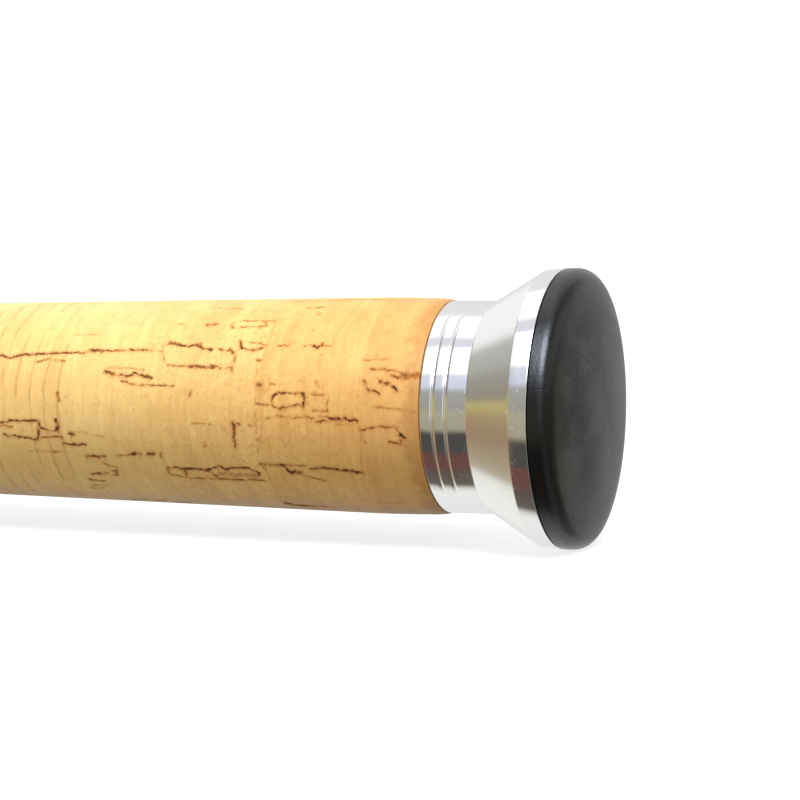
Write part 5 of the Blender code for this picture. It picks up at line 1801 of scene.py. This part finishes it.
def ring_band(s, ring_r, height, length):
    """The band of the frame round the ring, with rounded edges, and its middle radius."""
    inner_r = ring_r + WRAP_GAP
    outer_r = inner_r * HOLDER_CORNER + HOLDER_WALL
    start, end = s - length / 2, s + length / 2
    corners = [
        (start, inner_r),
        (start, outer_r, HOLDER_BEND),
        (end, outer_r, HOLDER_BEND),
        (end, inner_r),
    ]
    middle_r = (inner_r * HOLDER_CORNER * 2 + HOLDER_WALL) / 2
    return turned(filleted(corners), RING_SIDES, height), middle_r


def on_band(s, height, middle_r, turn):
    """The place on a ring's band at an angle from the side that is away from the rod."""
    return Vector((-s, math.cos(turn) * middle_r - height, math.sin(turn) * middle_r))


def make_guide(name, s, ring_r, height, wire_r, two_feet):
    """One guide: frame, ring and wraps."""
    band, middle_r = ring_band(s, ring_r, height, ring_length(ring_r) - HOLDER_SINK)
    foot_length = ring_r * FOOT_LENGTH_SHARE + FOOT_LENGTH_MORE
    half_width = wire_r * FOOT_HALF_WIDTH_IN_WIRES
    thickness = wire_r * FOOT_THICKNESS_IN_WIRES
    shapes = [band]

    def add_leg(base, turn, across, bend, radius):
        start = on_band(s, height, middle_r, turn)
        end = Vector((-base, -(blank_r(base) + WRAP_GAP + thickness), across))
        low = end.lerp(start, LEG_BEND_AT) + Vector((bend, 0.0, 0.0))
        middle = end.lerp(start, LEG_MIDDLE_AT) + Vector((bend / 2, 0.0, 0.0))
        shapes.append(wire(smooth_path([start, middle, low, end]), radius))

    def add_pair(base, stance):
        for side in (-1, 1):
            add_leg(base, side * LEG_SPREAD, side * half_width * stance, wire_r, wire_r)

    def add_foot(base, toward, wrap_name):
        end_s = base + toward * foot_length
        root_s = base - toward * wire_r
        shapes.append(foot(end_s, root_s, half_width, thickness))
        covered = base + toward * wire_r * COVERED_IN_WIRES
        title = f"{name}_{wrap_name.replace('wrap', 'winding')}"
        foot_wrap(title, end_s, root_s, half_width, thickness, covered, f"{name}_{wrap_name}")

    if two_feet:
        rear, front = s - height * REAR_LEG_REACH, s + height * FRONT_LEG_REACH
        add_pair(rear, REAR_STANCE)
        add_leg(front, 0.0, 0.0, -wire_r, thickness)
        add_foot(rear, -1, "rear_wrap")
        add_foot(front, 1, "front_wrap")
    else:
        base = s - height * SINGLE_LEG_REACH
        add_pair(base, SINGLE_STANCE)
        add_foot(base, -1, "wrap")
    guide_frame = joined(shapes)
    piece(f"{name}_steel", guide_frame, steel.material, "rod", "polished_steel", f"{name}_frame")
    liner = ceramic_ring(s, ring_r, height)
    piece(f"{name}_liner", liner, ceramic.material, "rod", "ceramic", f"{name}_ring")


for guide in GUIDES:
    make_guide(*guide)


# The tip top is a closed steel tube glued over the blank's tip, with its own small ceramic ring
# held by a band and two braces. A short plain wrap finishes it against the blank.
TIP_RING_R = 0.0030
TIP_TUBE_LENGTH = 0.0110
TIP_TUBE_WALL = 0.00045
TIP_TUBE_CAP = 0.0008
TIP_TUBE_CROWN = 0.0004
TIP_TUBE_FLATS = 16
TIP_TUBE_CORNER = 1 / math.cos(math.pi / TIP_TUBE_FLATS)
TIP_TUBE_MOUTH_EDGE = 0.0001
TIP_TUBE_SHOULDER = 0.0005
TIP_TUBE_NOSE = 0.0003
TIP_HOLDER_LENGTH = 0.0014
TIP_WIRE_R = 0.00040
TIP_BRACE_TOP = math.radians(95)
TIP_BRACE_ANGLE = math.radians(50)
TIP_BRACE_FROM_END = 0.0038
TIP_BRACE_SEAT = 0.0012
TIP_WRAP_LENGTH = 0.0060
TIP_WRAP_GAP = 0.0001
tube_s = BLANK_TIP_S - TIP_TUBE_LENGTH
tube_bore = (blank_r(tube_s) + WRAP_GAP) * TIP_TUBE_CORNER
tube_r = tube_bore + TIP_TUBE_WALL
cap_s = BLANK_TIP_S + WRAP_GAP
crown_s = cap_s + TIP_TUBE_CAP + TIP_TUBE_CROWN
tip_ring_s = cap_s + TIP_HOLDER_LENGTH / 2
tip_band_r = (TIP_RING_R + WRAP_GAP) * HOLDER_CORNER + HOLDER_WALL
tip_height = tube_r + tip_band_r - TIP_TUBE_CAP
tube_outline = filleted(
    [
        (cap_s, 0.0),
        (cap_s, tube_bore),
        (tube_s, tube_bore),
        (tube_s, tube_r, TIP_TUBE_MOUTH_EDGE),
        (crown_s - TIP_TUBE_CROWN, tube_r, TIP_TUBE_SHOULDER),
        (crown_s, tube_bore, TIP_TUBE_NOSE),
        (crown_s, 0.0),
    ]
)
tip_band, tip_middle_r = ring_band(tip_ring_s, TIP_RING_R, tip_height, TIP_HOLDER_LENGTH)
tip_shapes = [turned(tube_outline, BLANK_SIDES), tip_band]
for brace_side in (-1, 1):
    brace = [on_band(tip_ring_s, tip_height, tip_middle_r, brace_side * TIP_BRACE_TOP)]
    for brace_onward in (TIP_BRACE_SEAT, 0.0):
        brace_s = tube_s + TIP_BRACE_FROM_END + brace_onward
        brace.append(rod_point(brace_s, tube_r, brace_side * TIP_BRACE_ANGLE))
    tip_shapes.append(wire(smooth_path(brace), TIP_WIRE_R))
piece("tip_top_steel", joined(tip_shapes), steel.material, "rod", "polished_steel", "tip_top_frame")
tip_liner = ceramic_ring(tip_ring_s, TIP_RING_R, tip_height)
piece("tip_top_liner", tip_liner, ceramic.material, "rod", "ceramic", "tip_top_ring")
tip_wrap_end = tube_s - TIP_WRAP_GAP
plain_wrap("tip_top_winding", tip_wrap_end - TIP_WRAP_LENGTH, tip_wrap_end, "tip_top_wrap")
